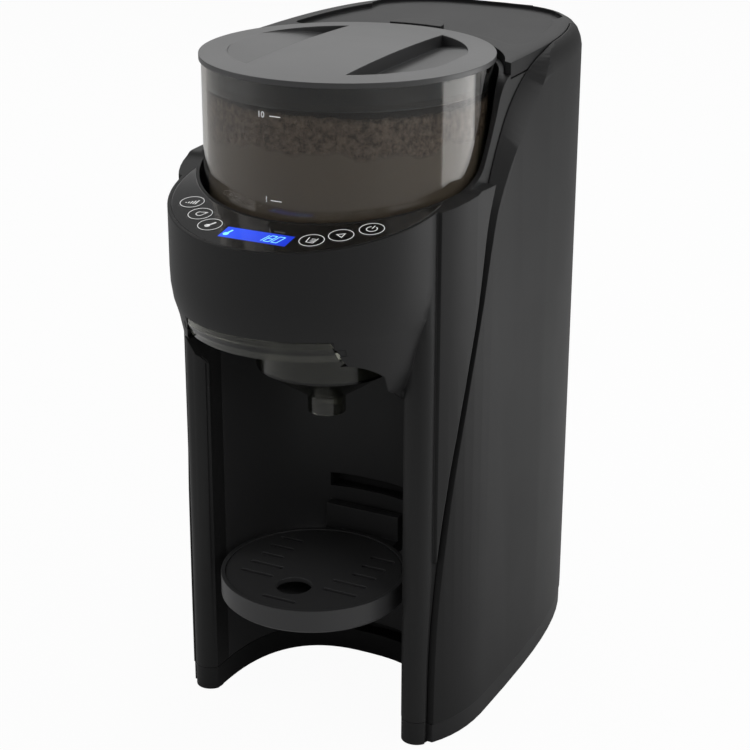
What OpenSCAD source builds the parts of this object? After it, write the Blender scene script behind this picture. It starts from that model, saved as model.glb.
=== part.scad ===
// Baby formula maker for a kitchen counter: a powder container on a dispensing head,
// a bottle bay under it, a water tank at the back, and a control panel in front.
// Lengths are in millimetres. +Z is up, the bottle bay opens towards -Y.
// Inside the modules x = 0, y = 0 is the powder container's axis; at_axis() puts that
// axis at its place behind or before the middle of the footprint.

/* [Body] */
// Width over the side shell
body_w = 171; // [168:0.5:176]
// From the container's axis to the back of the body
rear_reach = 184; // [180:0.5:192]
// How square the plan is at the back (2 is an ellipse)
rear_power = 3.2; // [2.8:0.1:3.6]
// Height of the rim behind the powder container
rim_z = 354.8; // [352:0.2:357]
// Wall of the side shell
shell_t = 3; // [2.4:0.1:3.2]
// Wall of the side shell's thick upper rim
rim_t = 6.6; // [6:0.1:7]
// Gap between pieces that are put together
fit_gap = 0.3; // [0.2:0.05:0.4]
// Height of the base ring, feet included
base_h = 14.5; // [12:0.5:17]

/* [Head and legs] */
// How far the head's round front lies inside the body's side
head_inset = 13.2; // [12:0.1:14.4]
// How far the head's round front sits before the container's axis
head_shift = 38; // [36:0.5:40]
// Height of the head's lower front edge
head_low_z = 226; // [222:0.5:230]
// Height of the sloping deck above the container's axis
deck_z = 302.5; // [300:0.5:306]
// Slope of the deck, down towards the front
deck_tilt = 10; // [8:0.5:12]
// Radius of each leg's round nose
leg_r = 8.8; // [8:0.1:9.4]
// From the body's side to the middle of a leg's nose
leg_inset = 21.4; // [20.8:0.1:22.2]
// How far the noses sit before the container's axis
leg_y = 44.6; // [43:0.1:46]

/* [Bottle bay] */
// How far the bay's side lies inside the middle of a nose
bay_inset = 6.1; // [5.6:0.1:7]
// How far the bay's back wall lies behind the container's axis
bay_back_y = 25; // [23:0.5:27]
// Radius of the bay's upper corners
bay_corner_r = 15; // [12:0.5:18]
// Thickness of the bay's lining
liner_t = 2.4; // [2:0.1:3]
// Height of the lowest of the stand's sockets
socket_low_z = 14; // [14:0.5:20]
// Step between the stand's sockets
socket_step = 30; // [28:0.5:34]
// Width of a socket
socket_w = 46; // [42:0.5:48]
// Height of a socket
socket_h = 8; // [7:0.25:9]
// Depth of a socket behind the bay's back wall
socket_d = 8; // [6:0.5:9]

/* [Bottle stand] */
// How far the round bottle stand lies inside the bay's side
stand_inset = 8.2; // [7:0.1:10]
// How far the stand's centre sits before the container's axis
stand_shift = 40.1; // [38:0.1:42]
// Height of the stand's top
stand_top_z = 85.4; // [84:0.2:87]
// Height of the stand's side
stand_h = 13; // [12:0.5:15]
// Wall of the stand's drip bowl
stand_t = 2.2; // [2:0.1:2.6]
// Radius of the finger hole in the grille
finger_r = 9.5; // [8:0.5:11]
// Thickness of the grille
grille_t = 2.6; // [2:0.2:3.2]
// Width of a drain slot
slot_w = 2.6; // [2:0.2:3.4]
// Step between the rows of drain slots
slot_step = 11; // [10:0.25:12]

/* [Powder container] */
// How far the clear container lies inside the body's side
hopper_inset = 11.7; // [11.1:0.1:12.5]
// Wall of the clear container
hopper_t = 2.2; // [1.8:0.1:2.6]
// Height of the container's seat in the head
seat_z = 270; // [268:0.5:273]
// Gap between the container and its well
well_gap = 2.4; // [1.8:0.1:2.6]
// Radius of the dispensing hole
chute_r = 10; // [8:0.5:11]
// How far the dispensing hole sits before the container's axis
chute_y = 38; // [36:0.5:40]
// Radius of the hub that turns the dispensing wheel
hub_r = 9; // [8:0.5:10]
// Number of powder pockets in the dispensing wheel
pockets = 8; // [6:1:9]

/* [Powder lid] */
// Reach of the lid past the container
lid_lap = 1.2; // [0.7:0.1:1.8]
// Height of the lid's outer edge
lid_edge_z = 357.7; // [357:0.1:359]
// Thickness of the lid's edge
lid_edge_t = 2.6; // [2:0.1:3]
// Rise of the lid's middle above its edge
lid_rise = 2.4; // [1.6:0.1:3]
// Depth that the lid's seal reaches into the container
seal_depth = 12.2; // [11:0.2:14]
// Half width of the grip bar between the two scoops
bar_half_w = 27.2; // [24:0.2:30]
// How far the scoops' outer edge lies inside the lid
scoop_inset = 14.5; // [12:0.5:17]
// Depth of the scoops along the grip bar
scoop_d = 7.5; // [6:0.25:8]

/* [Funnel drawer] */
// Outer radius of the spout
spout_r = 10.1; // [9:0.1:11]
// How far the spout sits before the container's axis
spout_y = 24.3; // [22:0.1:26]
// Height of the spout's lower end
spout_z = 171.8; // [168:0.2:176]
// Radius of the funnel's bowl
bowl_r = 37; // [36:0.25:38.5]
// Wall of the funnel
funnel_t = 2; // [1.6:0.1:2.4]
// Half width of the drawer's front lip along its upper edge
lip_half_w = 40; // [38:0.5:42]
// Height of the drawer's front lip
lip_h = 11.5; // [10:0.25:12.5]
// Reach of each side rail past the drawer pocket
rail_w = 4; // [3:0.25:5]

/* [Controls] */
// Radius of a button
button_r = 6.3; // [5.8:0.1:6.5]
// Travel of a button
button_travel = 0.7; // [0.5:0.05:0.8]
// Thickness of the control panel
panel_t = 2; // [1.8:0.1:2.4]
// Width of the display
display_w = 37; // [34:0.5:38]
// Depth of the display, front to back
display_d = 11; // [10:0.5:12]

/* [Water tank] */
// How far the tank lies inside the body's side
tank_side = 19.5; // [18.5:0.5:23.5]
// How far the tank's front wall lies behind the container's axis
tank_front_y = 104; // [100:0.5:110]
// Height of the tank's floor above the table
tank_z = 58; // [56:0.5:62]
// Height of the joint between the tank and its collar
collar_z = 300; // [296:0.5:304]
// How far the tank's back sits inside the outline of the body
tank_inset = 1.6; // [1.2:0.1:2]
// Wall of the tank
tank_t = 2.5; // [2:0.1:3]

/* [Hidden] */
$fn = 96;

half_w = body_w / 2;
head_r = half_w - head_inset;
leg_x = half_w - leg_inset;
bay_half_w = leg_x - bay_inset;
stand_r = bay_half_w - stand_inset;
hopper_r = half_w - hopper_inset;
lid_r = hopper_r + lid_lap;
scoop_r = lid_r - scoop_inset;
tank_half_w = half_w - tank_side;
front_reach = head_shift + head_r;
axis_y = (front_reach - rear_reach) / 2;
far = 400;          // past every face of the body
eps = 0.01;

// ---- plan of the body: a rounded square at the back, narrower at the front ----
plan_steps = 72;
nose_power = 2.5;
nose_reach = 75;
shell_front_y = -45.8;
groove_w = 3.2;
flat_cut_y = shell_front_y - groove_w;

function side_power(s) = s >= 0 ? rear_power : nose_power;
function side_reach(s) = s >= 0 ? rear_reach : nose_reach;
function rounded(v, n) = sign(v) * pow(abs(v), 2 / n);
function plan_points(d) = [
  for (i = [0:plan_steps - 1])
    let (a = 360 * (i + 0.5) / plan_steps, c = cos(a), s = sin(a), n = side_power(s))
      [(half_w - d) * rounded(c, n), (side_reach(s) - d) * rounded(s, n)]
];
module plan(d) polygon(plan_points(d));
// y of the plan's back, d inside the outline, at a given x
function plan_y(x, d) =
  (rear_reach - d) * pow(1 - pow(abs(x) / (half_w - d), rear_power), 1 / rear_power);

// ---- smooth curves through chosen points ----
function blend_at(a, b, c, d, t) =
  0.5 * (2 * b + (c - a) * t + (2 * a - 5 * b + 4 * c - d) * t * t
    + (3 * b - a - 3 * c + d) * t * t * t);
function smooth(p, steps) = concat(
  [for (i = [0:len(p) - 2], k = [0:steps - 1])
    blend_at(p[max(i - 1, 0)], p[i], p[i + 1], p[min(i + 2, len(p) - 1)], k / steps)],
  [p[len(p) - 1]]);

// Front edge of the side shell as (y, z): up the leg, back over the head, on to the rim
shell_edge_outer = [
  [shell_front_y, 0], [-44.5, 70], [-37.5, 140], [-27, 195], [-14.7, 242],
  [-3, 280], [8, 296], [22, 309], [38, 321], [54, 333], [70, 345], [86, 352],
  [104, rim_z - 0.8], [130, rim_z]
];
shell_edge_inner = [
  [shell_front_y, 0], [-44.5, 70], [-37.5, 140], [-27, 195], [-16, 242],
  [-9, 280], [0, 303], [9, 320], [19, 334], [32, 343], [48, 348.5], [70, 352],
  [96, rim_z - 0.4], [130, rim_z]
];
// Edge of the container's well, a little before and above the shell's inner edge
well_edge = [
  [-22, deck_z - 22 * tan(deck_tilt)], [-8, 305], [1, 317], [9, 331], [15, 342],
  [24, 348], [44, 350]
];

// ---- heights ----
foot_h = 1;
deck_slope = tan(deck_tilt);
well_r = hopper_r + well_gap;
seat_gap = 0.2;
hopper_floor_z = seat_z + seat_gap;
hopper_rim_z = lid_edge_z - lid_edge_t - fit_gap;
bay_top_z = head_low_z - 1;
lip_z = head_low_z + 1;
lip_top_z = lip_z + lip_h;
pocket_half_w = bowl_r + 5;
pocket_rear_y = 20;
rail_z = lip_z + 4;
rail_t = 3;
deck_back_z = 338;
lid_recess_z = rim_z - 8;

module at_axis() translate([0, axis_y, 0]) children();
module slab(z0, z1) translate([-far, -far, z0]) cube([2 * far, 2 * far, z1 - z0]);
module prism(z0, z1) translate([0, 0, z0]) linear_extrude(z1 - z0) children();
module block(x0, x1, y0, y1, z0, z1) translate([x0, y0, z0]) cube([x1 - x0, y1 - y0, z1 - z0]);
module both_sides() { children(); mirror([1, 0, 0]) children(); }
// A side view (y, z) drawn as a polygon and pushed out along X between x0 and x1
module side_view(x0, x1) translate([x0, 0, 0]) rotate([90, 0, 90]) linear_extrude(x1 - x0) children();
// A place on the sloping deck, with its own z along the deck's normal
module on_deck(x, y) translate([x, y, deck_z + y * deck_slope]) rotate([deck_tilt, 0, 0]) children();
// Everything below the deck plane, lowered by depth
module below_deck(depth = 0) on_deck(0, 0) translate([-far, -far, -far - depth]) cube([2 * far, 2 * far, far]);

// ---- outer form of the body: upright walls with a rounded top edge ----
form_rings = [
  [foot_h, 1.2], [3, 0], [rim_z - 13, 0], [rim_z - 8.5, 0.8], [rim_z - 5, 2.2],
  [rim_z - 2.4, 4.4], [rim_z - 0.7, 7.2], [rim_z, 10.5]
];
module outer_form() {
  n = plan_steps;
  m = len(form_rings);
  pts = [for (r = form_rings, p = plan_points(r[1])) [p[0], p[1], r[0]]];
  sides = [for (j = [0:m - 2], i = [0:n - 1])
    let (a = j * n + i, b = j * n + (i + 1) % n) each [[a, b + n, b], [a, a + n, b + n]]];
  polyhedron(pts, concat([[for (i = [0:n - 1]) i]], sides, [[for (i = [n - 1:-1:0]) (m - 1) * n + i]]));
}

// Space in front of the side shell: it leans, so that the shell's thick rim shows a bevel
module before_shell_edge() {
  inner = smooth(shell_edge_inner, 4);
  outer = smooth(shell_edge_outer, 4);
  x_in = half_w - rim_t - 2;
  x_out = half_w + 2;
  n = len(inner);
  cap = rim_z + 30;
  ring_in = concat([[-far, -1]], inner, [[far, cap - 20], [far, cap], [-far, cap]]);
  ring_out = concat([[-far, -1]], outer, [[far, cap - 20], [far, cap], [-far, cap]]);
  m = len(ring_in);
  pts = concat([for (p = ring_in) [x_in, p[0], p[1]]], [for (p = ring_out) [x_out, p[0], p[1]]]);
  both_sides() union() {
    polyhedron(pts, concat([[for (i = [0:m - 1]) i]], [for (i = [0:m - 1])
      let (j = (i + 1) % m) each [[i, i + m, j], [j, i + m, j + m]]], [[for (i = [m - 1:-1:0]) i + m]]));
    side_view(-eps, x_in + eps) polygon(ring_in);
  }
}

// Inner face of the shell: thin below, thick round the rim
rim_from_z = 252;
module shell_inside(gap) {
  prism(-1, rim_from_z - gap) plan(shell_t + gap);
  prism(-1, far) plan(rim_t + gap);
}

// ---- housing ----
module bay_plan(d) {
  steps = 40;
  power = 2.6;
  reach = bay_back_y - shell_front_y;
  half = bay_half_w - 1;
  translate([0, shell_front_y]) polygon(concat(
    [[half + d, -far], [half + d, 0]],
    [for (i = [1:steps - 1]) let (a = 180 * i / steps)
      [(half + d) * rounded(cos(a), power), (reach + d) * rounded(sin(a), power)]],
    [[-half - d, 0], [-half - d, -far]]));
}
module arch_view(d) {
  r = bay_corner_r;
  w = bay_half_w + d;
  translate([0, -1]) union() {
    translate([-w, 0]) square([2 * w, bay_top_z + d + 1 - r]);
    translate([-w + r, 0]) square([2 * (w - r), bay_top_z + d + 1]);
    for (s = [-1, 1]) translate([s * (w - r), bay_top_z + d + 1 - r]) circle(r);
  }
}
module bay_space(d) intersection() {
  prism(-1, bay_top_z + d) bay_plan(d);
  translate([0, far, 0]) rotate([90, 0, 0]) linear_extrude(2 * far) arch_view(d);
}

// Front skin, flush with the shell, and round noses at the legs
module leg_plan(d) intersection() {
  union() {
    for (s = [-1, 1]) translate([s * leg_x, -leg_y]) circle(leg_r - d, $fn = 48);
    intersection() {
      plan(d);
      translate([-far, -leg_y]) square([2 * far, 2 * far]);
    }
  }
  translate([-far, -far]) square([2 * far, far + 62]);
}
// The round front of the head: its chin draws in towards the legs
chin = [[0, 196], [60.5, 196], [63, 206], [65.6, 216], [67.9, 226], [70, 234], [71.4, 242], [72, 250]];
module head_round() translate([0, -head_shift, 0]) rotate_extrude($fn = 120) polygon(concat(
  [for (p = chin) [p[0] * head_r / 72.3, p[1]]],
  [[head_r, 258], [head_r, deck_z], [0, deck_z]]));
module front_of_groove() side_view(-far, far) {
  polygon(concat([[-far, -1]],
    [for (p = smooth(shell_edge_inner, 4)) if (p[1] < 300) [p[0] - groove_w, p[1] - 1]],
    [[-4, 300], [-far, 300]]));
}
module deck_top() {
  // below the deck plane in front, below the well's edge at the sides and behind
  side = concat([[-far, -1], [-far, deck_z - far * deck_slope]], smooth(well_edge, 4),
    [[96, 350], [96, -1]]);
  side_view(-far, far) polygon(side);
}

module well_space() translate([0, 0, seat_z]) cylinder(r = well_r, h = far);

module lip_space(gap, depth) {
  // front opening of the drawer pocket, with slanting ends
  w = lip_half_w + gap;
  translate([0, -front_reach - 2 + depth, 0]) rotate([-90, 0, 0]) mirror([0, 1, 0]) linear_extrude(70)
    polygon([[-w, lip_top_z + gap], [w, lip_top_z + gap], [w + 8, lip_z - 8], [-w - 8, lip_z - 8]]);
}
module drawer_space() {
  block(-pocket_half_w, pocket_half_w, -front_reach - 5, pocket_rear_y, bay_top_z - 2, lip_top_z + fit_gap);
  block(-pocket_half_w - rail_w - fit_gap, pocket_half_w + rail_w + fit_gap,
    -front_reach - 5, pocket_rear_y, rail_z - fit_gap, rail_z + rail_t + fit_gap);
  lip_space(fit_gap, 0);
}

motor_w = 44;
motor_len = 66;
motor_h = 22;
motor_z = 244;
housing_t = 3;
room_front_y = bay_back_y + socket_d + 3;
room_top_z = 262;
frame_t = 3;
frame_y = tank_front_y - 6;

// Outer form of the two front mouldings: a skin before the groove, and inside the shell behind it
module front_form() intersection() {
  union() {
    intersection() {
      union() {
        prism(base_h, deck_z) leg_plan(0.6);
        head_round();
      }
      front_of_groove();
    }
    intersection() {
      prism(base_h, far) translate([-far, flat_cut_y]) square([2 * far, frame_y - flat_cut_y]);
      shell_inside(fit_gap);
    }
  }
  deck_top();
}

// Both legs and the wall round the bottle bay, split where the bay's roof starts to bend down
module front_low() difference() {
  intersection() {
    front_form();
    slab(base_h, bay_top_z);
    block(-far, far, -far, room_front_y, 0, far);
  }
  bay_space(0);
  intersection() {
    bay_space(liner_t);
    block(-far, far, liner_front_y - 0.1, far, -1, bay_top_z - bay_corner_r + 0.1);
  }
  for (z = socket_zs) block(-socket_w / 2, socket_w / 2, 0, bay_back_y + socket_d, z, z + socket_h);
  screw_holes();
}
leg_split_x = bay_half_w - bay_corner_r;
module front_legs() color([0.10, 0.10, 0.11]) at_axis() difference() {
  front_low();
  block(-leg_split_x, leg_split_x, -far, far, 0, far);
}
module bay_wall() color([0.10, 0.10, 0.11]) at_axis() intersection() {
  front_low();
  block(-leg_split_x, leg_split_x, -far, far, 0, far);
}

// The head: funnel drawer's pocket, motor's place, container's well and cheeks
module head_housing() color([0.10, 0.10, 0.11]) at_axis() difference() {
  intersection() {
    front_form();
    slab(bay_top_z, far);
  }
  // room for the pump and heater behind, and the motor's place under the well
  block(-far, far, room_front_y, far, 0, room_top_z);
  block(-motor_w / 2, motor_w / 2, -motor_w / 2, room_front_y + 1, motor_z, motor_z + motor_h);
  // hollow behind the container's well
  block(-tank_half_w, tank_half_w, well_r + housing_t, far, 0, lid_recess_z - 4);
  well_space();
  drawer_space();
  panel_recess();
  // dispensing hole, water hole and the motor shaft's hole
  translate([0, -chute_y, lip_top_z - 5]) cylinder(r = chute_r, h = 60);
  translate([0, nozzle_y, lip_top_z - 5]) cylinder(r = nozzle_r, h = room_top_z - lip_top_z);
  translate([0, 0, motor_z + motor_h - 1]) cylinder(r = shaft_r + 2, h = 20);
  tank_lid_space();
}

module rear_shell() color([0.13, 0.13, 0.14]) at_axis() difference() {
  outer_form();
  shell_inside(0);
  before_shell_edge();
  // the back is open above the base, where the water tank stands
  block(-tank_half_w - fit_gap, tank_half_w + fit_gap, tank_front_y, far, tank_z - 2, far);
  slab(-1, base_h - shell_lap);
  block(-inlet_half_w - 0.2, inlet_half_w + 0.2, inlet_front_y, far, inlet_low_z, inlet_low_z + inlet_h);
}

module base_ring() color([0.09, 0.09, 0.10]) at_axis() difference() {
  union() {
    prism(foot_h, base_h - fit_gap) intersection() {
      leg_plan(0.6);
      union() {
        plan(shell_t + fit_gap);
        translate([-far, -far]) square([2 * far, far + flat_cut_y]);
      }
    }
    // step under the side shell
    prism(foot_h, base_h - shell_lap - fit_gap) intersection() {
      plan(0.4);
      translate([-far, shell_front_y]) square([2 * far, 2 * far]);
    }
  }
  bay_space(0);
  for (p = foot_places) translate([p[0], p[1], -1]) cylinder(r = foot_r + 0.1, h = foot_seat_z + 1, $fn = 48);
  screw_holes();
  for (p = screw_places) translate([p[0], p[1], -1])
    cylinder(r = screw_head_r + 0.2, h = 1 + screw_seat_z, $fn = 32);
}

shell_lap = 2.5;
foot_r = 6.5;
foot_seat_z = 3;
foot_places = [
  [-leg_x, -leg_y + 1], [leg_x, -leg_y + 1], [-half_w + 26, rear_reach - 50], [half_w - 26, rear_reach - 50]
];
module feet() color([0.05, 0.05, 0.05]) at_axis() for (p = foot_places)
  translate([p[0], p[1], 0]) cylinder(r = foot_r, h = foot_seat_z, $fn = 48);

screw_r = 1.5;
screw_head_r = 3;
screw_seat_z = 5;
screw_end_z = 24;
screw_places = [for (s = [-1, 1], p = [[11, 20], [20, frame_y + frame_t + 12]]) [s * (half_w - p[0]), p[1]]];
module screw_holes() for (p = screw_places)
  translate([p[0], p[1], -1]) cylinder(r = screw_r, h = screw_end_z + 2, $fn = 32);
module base_screws() color([0.6, 0.6, 0.62]) at_axis() for (p = screw_places) translate([p[0], p[1], 0])
  difference() {
    union() {
      translate([0, 0, screw_seat_z - 2]) cylinder(r = screw_head_r, h = 2, $fn = 32);
      translate([0, 0, screw_seat_z - 1]) cylinder(r = screw_r - 0.05, h = screw_end_z - screw_seat_z + 1, $fn = 32);
    }
    for (a = [0, 90]) translate([0, 0, screw_seat_z - 2]) rotate([0, 0, a])
      cube([3.4, 0.8, 2.4], center = true);
  }

// Lining of the bottle bay, with a socket at each height where the stand can hang
socket_zs = [for (i = [0:3]) socket_low_z + i * socket_step];
liner_front_y = -leg_y + 8;
module bay_liner() color([0.08, 0.08, 0.09]) at_axis() difference() {
  intersection() {
    bay_space(liner_t - 0.1);
    prism(base_h, bay_top_z - bay_corner_r) translate([-far, liner_front_y]) square([2 * far, far]);
  }
  bay_space(0);
  for (z = socket_zs) block(-socket_w / 2, socket_w / 2, 0, far, z, z + socket_h);
}

module inner_frame() color([0.16, 0.16, 0.17]) at_axis() difference() {
  intersection() {
    block(-far, far, frame_y + 0.1, frame_y + 0.1 + frame_t, base_h, lid_recess_z - 1);
    shell_inside(fit_gap);
  }
  translate([0, frame_y - 1, 120]) rotate([-90, 0, 0]) cylinder(r = 4, h = 10);
}

// ---- controls ----
panel_edge_r = head_r - 2;
// How far before the side, in degrees, and how far inside the panel's edge each button sits
button_spots = [[33.27, 10.48], [47.91, 12.11], [61.8, 11.07]];
function button_place(spot, side) = [
  side * (panel_edge_r - spot[1]) * cos(spot[0]),
  -head_shift - (panel_edge_r - spot[1]) * sin(spot[0])
];
button_places = [
  for (spot = button_spots) button_place(spot, -1),
  for (i = [len(button_spots) - 1:-1:0]) button_place(button_spots[i], 1)
];
display_y = 14.1 - head_shift - panel_edge_r;
module panel_plan(d) difference() {
  translate([0, -head_shift]) circle(panel_edge_r - d, $fn = 120);
  circle(well_r + 1.6 + d, $fn = 120);
}
module panel_recess() {
  intersection() {
    prism(deck_z - 60, deck_z + 10) panel_plan(-0.15);
    on_deck(0, 0) translate([-far, -far, -panel_t]) cube([2 * far, 2 * far, far]);
    prism(0, far) translate([-far, -far]) square([2 * far, far - 34]);
  }
  for (p = button_places) on_deck(p[0], p[1])
    translate([0, 0, -panel_t - button_travel - 1.2]) cylinder(r = button_r + 0.3, h = 5, $fn = 48);
}
module display_window(gap) on_deck(0, display_y)
  translate([-display_w / 2 - gap, -display_d / 2 - gap, -far / 2]) cube([display_w + 2 * gap, display_d + 2 * gap, far]);
module control_panel() color([0.02, 0.02, 0.02]) at_axis() difference() {
  intersection() {
    prism(deck_z - 60, deck_z + 10) panel_plan(0);
    on_deck(0, 0) translate([-far, -far, -panel_t]) cube([2 * far, 2 * far, panel_t]);
    prism(0, far) translate([-far, -far]) square([2 * far, far - 34.2]);
  }
  for (p = button_places) on_deck(p[0], p[1])
    translate([0, 0, -5]) cylinder(r = button_r + 0.3, h = 10, $fn = 48);
  display_window(0);
}
module display() color([0.12, 0.28, 1.0]) at_axis() intersection() {
  display_window(-0.1);
  on_deck(0, 0) translate([-far, -far, -panel_t]) cube([2 * far, 2 * far, panel_t - 0.1]);
}
module button(i) color([0.05, 0.05, 0.05]) at_axis() on_deck(button_places[i][0], button_places[i][1]) {
  translate([0, 0, -panel_t]) cylinder(r = button_r, h = panel_t + 0.25, $fn = 48);
  translate([0, 0, -panel_t - 1]) cylinder(r = 1.5, h = 1.5, $fn = 24);
}
module button_strength() button(0);
module button_water() button(1);
module button_heat() button(2);
module button_volume() button(3);
module button_start() button(4);
module button_power() button(5);

// ---- drive under the powder container ----
shaft_r = 3;
dog_r = 5.2;
dog_h = 6;
module drive_motor() color([0.55, 0.55, 0.57]) at_axis() difference() {
  union() {
    block(-motor_w / 2 + 0.2, motor_w / 2 - 0.2, -motor_w / 2 + 0.2, motor_len - motor_w / 2 - 14, motor_z, motor_z + motor_h - 4);
    translate([0, motor_len - 38, motor_z + 9]) rotate([-90, 0, 0]) cylinder(r = 9, h = 34, $fn = 48);
  }
  translate([0, 0, motor_z + motor_h - 10]) cylinder(r = shaft_r + 0.05, h = 20);
}
module drive_coupling() color([0.75, 0.75, 0.76]) at_axis() {
  translate([0, 0, motor_z + motor_h - 9]) cylinder(r = shaft_r, h = seat_z - motor_z - motor_h + 9.4);
  translate([0, 0, seat_z + 0.3]) cylinder(r = dog_r, h = 1.5);
  translate([-dog_r, -1.6, seat_z + 0.3]) cube([2 * dog_r, 3.2, dog_h]);
}
nozzle_y = 4;
nozzle_r = 5;
module water_nozzle() color([0.8, 0.8, 0.8]) at_axis() difference() {
  union() {
    translate([0, nozzle_y, lip_top_z - 2]) cylinder(r = nozzle_r - 0.05, h = 6, $fn = 40);
    translate([0, nozzle_y, cover_top_z + fit_gap]) cylinder(r = 3.2, h = 2, $fn = 40);
  }
  translate([0, nozzle_y, lip_top_z - 4]) cylinder(r = 1.5, h = 12, $fn = 32);
}
pump_x = half_w - 47.5;
unit_x = half_w - 23.5;
module water_pump() color([0.3, 0.3, 0.32]) at_axis() {
  translate([-pump_x, frame_y, 60]) rotate([90, 0, 0]) cylinder(r = 19, h = 38, $fn = 64);
  translate([-pump_x, frame_y - 37.9, 60]) rotate([90, 0, 0]) cylinder(r = 12, h = 14, $fn = 48);
  translate([-pump_x, frame_y - 25, 78]) cylinder(r = 4, h = 14, $fn = 32);
}
module water_heater() color([0.72, 0.72, 0.73]) at_axis() {
  block(unit_x - 60, unit_x, frame_y - 30, frame_y, 90, 200);
  for (z = [76, 199.9]) translate([unit_x - 30, frame_y - 15, z]) cylinder(r = 4, h = 14.1, $fn = 32);
}
module circuit_board() color([0.10, 0.35, 0.18]) at_axis()
  block(-unit_x, unit_x - 74, frame_y - 6, frame_y, 130, 210);

// ---- powder container and what turns in it ----
hub_hole_r = hub_r + 0.06;
module powder_container() color([0.62, 0.60, 0.57, 0.45]) at_axis() difference() {
  translate([0, 0, hopper_floor_z]) cylinder(r = hopper_r, h = hopper_rim_z - hopper_floor_z, $fn = 144);
  translate([0, 0, hopper_floor_z + 3]) cylinder(r = hopper_r - hopper_t, h = far, $fn = 144);
  translate([0, 0, hopper_floor_z - 1]) cylinder(r = hub_hole_r, h = 10);
  translate([0, -chute_y, hopper_floor_z - 1]) cylinder(r = chute_r, h = 10);
}
wheel_z = hopper_floor_z + 3 + fit_gap;
wheel_h = 8;
wheel_r = chute_y + chute_r + 4;
module dispensing_wheel() color([0.85, 0.85, 0.83]) at_axis() difference() {
  union() {
    translate([0, 0, wheel_z]) cylinder(r = wheel_r, h = wheel_h);
    translate([0, 0, hopper_floor_z + 0.4]) cylinder(r = hub_r, h = wheel_z - hopper_floor_z);
  }
  for (i = [0:pockets - 1]) rotate([0, 0, 360 * i / pockets])
    translate([0, -chute_y, wheel_z - 1]) cylinder(r = min(chute_r, chute_y * sin(180 / pockets) - 1.5), h = 20, $fn = 48);
  // slot that the drive's cross key enters
  translate([0, 0, hopper_floor_z - 1]) cylinder(r = dog_r + 0.5, h = 3.4);
  translate([-dog_r - 0.5, -2, hopper_floor_z - 1]) cube([2 * dog_r + 1, 4, dog_h + 2]);
}
module stirrer() color([0.9, 0.9, 0.88]) at_axis() {
  z0 = wheel_z + wheel_h;
  translate([0, 0, z0]) cylinder(r1 = 12, r2 = 5, h = 16);
  for (a = [0, 120, 240]) rotate([0, 0, a + 30]) {
    translate([3, -1.5, z0 + 0.6]) cube([hopper_r - hopper_t - 5, 3, 4]);
    translate([hopper_r - hopper_t - 5, -1.5, z0 + 0.6]) cube([3, 3, 18]);
  }
}

// ---- powder lid ----
seal_r = hopper_r - hopper_t - fit_gap;
dome_r = (lid_r * lid_r + lid_rise * lid_rise) / (2 * lid_rise);
module lid_scoop() {
  intersection() {
    prism(lid_edge_z - 20, far) difference() {
      circle(scoop_r);
      translate([-far, -far]) square([far + bar_half_w, 2 * far]);
    }
    translate([bar_half_w, -far, lid_edge_z + lid_rise - scoop_d])
      rotate([0, -atan((scoop_d - lid_rise / 2) / (scoop_r - bar_half_w)), 0]) cube([far, 2 * far, far]);
  }
}
module powder_lid() color([0.18, 0.18, 0.19]) at_axis() difference() {
  union() {
    intersection() {
      translate([0, 0, lid_edge_z - lid_edge_t]) cylinder(r = lid_r, h = lid_edge_t + lid_rise, $fn = 144);
      translate([0, 0, lid_edge_z + lid_rise - dome_r]) sphere(r = dome_r, $fn = 360);
    }
    translate([0, 0, lid_edge_z - 12]) cylinder(r = seal_r - 3, h = 12, $fn = 144);
  }
  lid_scoop();
  mirror([1, 0, 0]) lid_scoop();
}
module lid_seal() color([0.45, 0.50, 0.55, 0.6]) at_axis() difference() {
  translate([0, 0, lid_edge_z - lid_edge_t - seal_depth]) cylinder(r = seal_r, h = seal_depth, $fn = 144);
  translate([0, 0, 0]) cylinder(r = seal_r - 2.9, h = far, $fn = 144);
}

// ---- funnel drawer ----
bowl_low_z = 181;
bowl_high_z = 199;
flange_z = rail_z;
cover_t = 2.4;
cover_top_z = flange_z + rail_t + cover_t;
module funnel_outline(d) polygon([
  [0, spout_z - (d > 0 ? 1 : 0)], [spout_r - d, spout_z - (d > 0 ? 1 : 0)], [spout_r - d, bowl_low_z + d * 0.4],
  [bowl_r - d, bowl_high_z + d * 0.4], [bowl_r - d, flange_z + rail_t + (d > 0 ? 1 : 0)], [0, flange_z + rail_t + (d > 0 ? 1 : 0)]
]);
module lip_ring(r_out, r_in) translate([0, -head_shift]) difference() {
  circle(r_out, $fn = 120);
  circle(r_in, $fn = 120);
}
module funnel() color([0.40, 0.40, 0.34, 0.7]) at_axis() difference() {
  union() {
    translate([0, -spout_y, 0]) rotate_extrude($fn = 96) funnel_outline(0);
    // flange with its rails
    intersection() {
      block(-pocket_half_w - rail_w, pocket_half_w + rail_w, -front_reach, pocket_rear_y - 1, flange_z, flange_z + rail_t);
      prism(0, far) union() {
        translate([0, -head_shift]) circle(head_r - 6, $fn = 120);
        translate([-far, -spout_y - 20]) square([2 * far, far]);
      }
    }
    // front lip, part of the head's round front
    intersection() {
      prism(lip_z, lip_top_z) lip_ring(head_r - 3, head_r - 7);
      lip_space(-0.3, 0);
      prism(0, far) translate([-far, -far]) square([2 * far, far - head_shift]);
    }
  }
  translate([0, -spout_y, 0]) rotate_extrude($fn = 96) funnel_outline(funnel_t);
}
module funnel_cover() color([0.5, 0.5, 0.46, 0.8]) at_axis() difference() {
  translate([0, -spout_y, flange_z + rail_t]) cylinder(r = bowl_r + 2, h = cover_t);
  translate([0, -chute_y, flange_z]) cylinder(r = chute_r + 1.5, h = 10);
  translate([0, nozzle_y, flange_z]) cylinder(r = 4.5, h = 10, $fn = 48);
}

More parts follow.
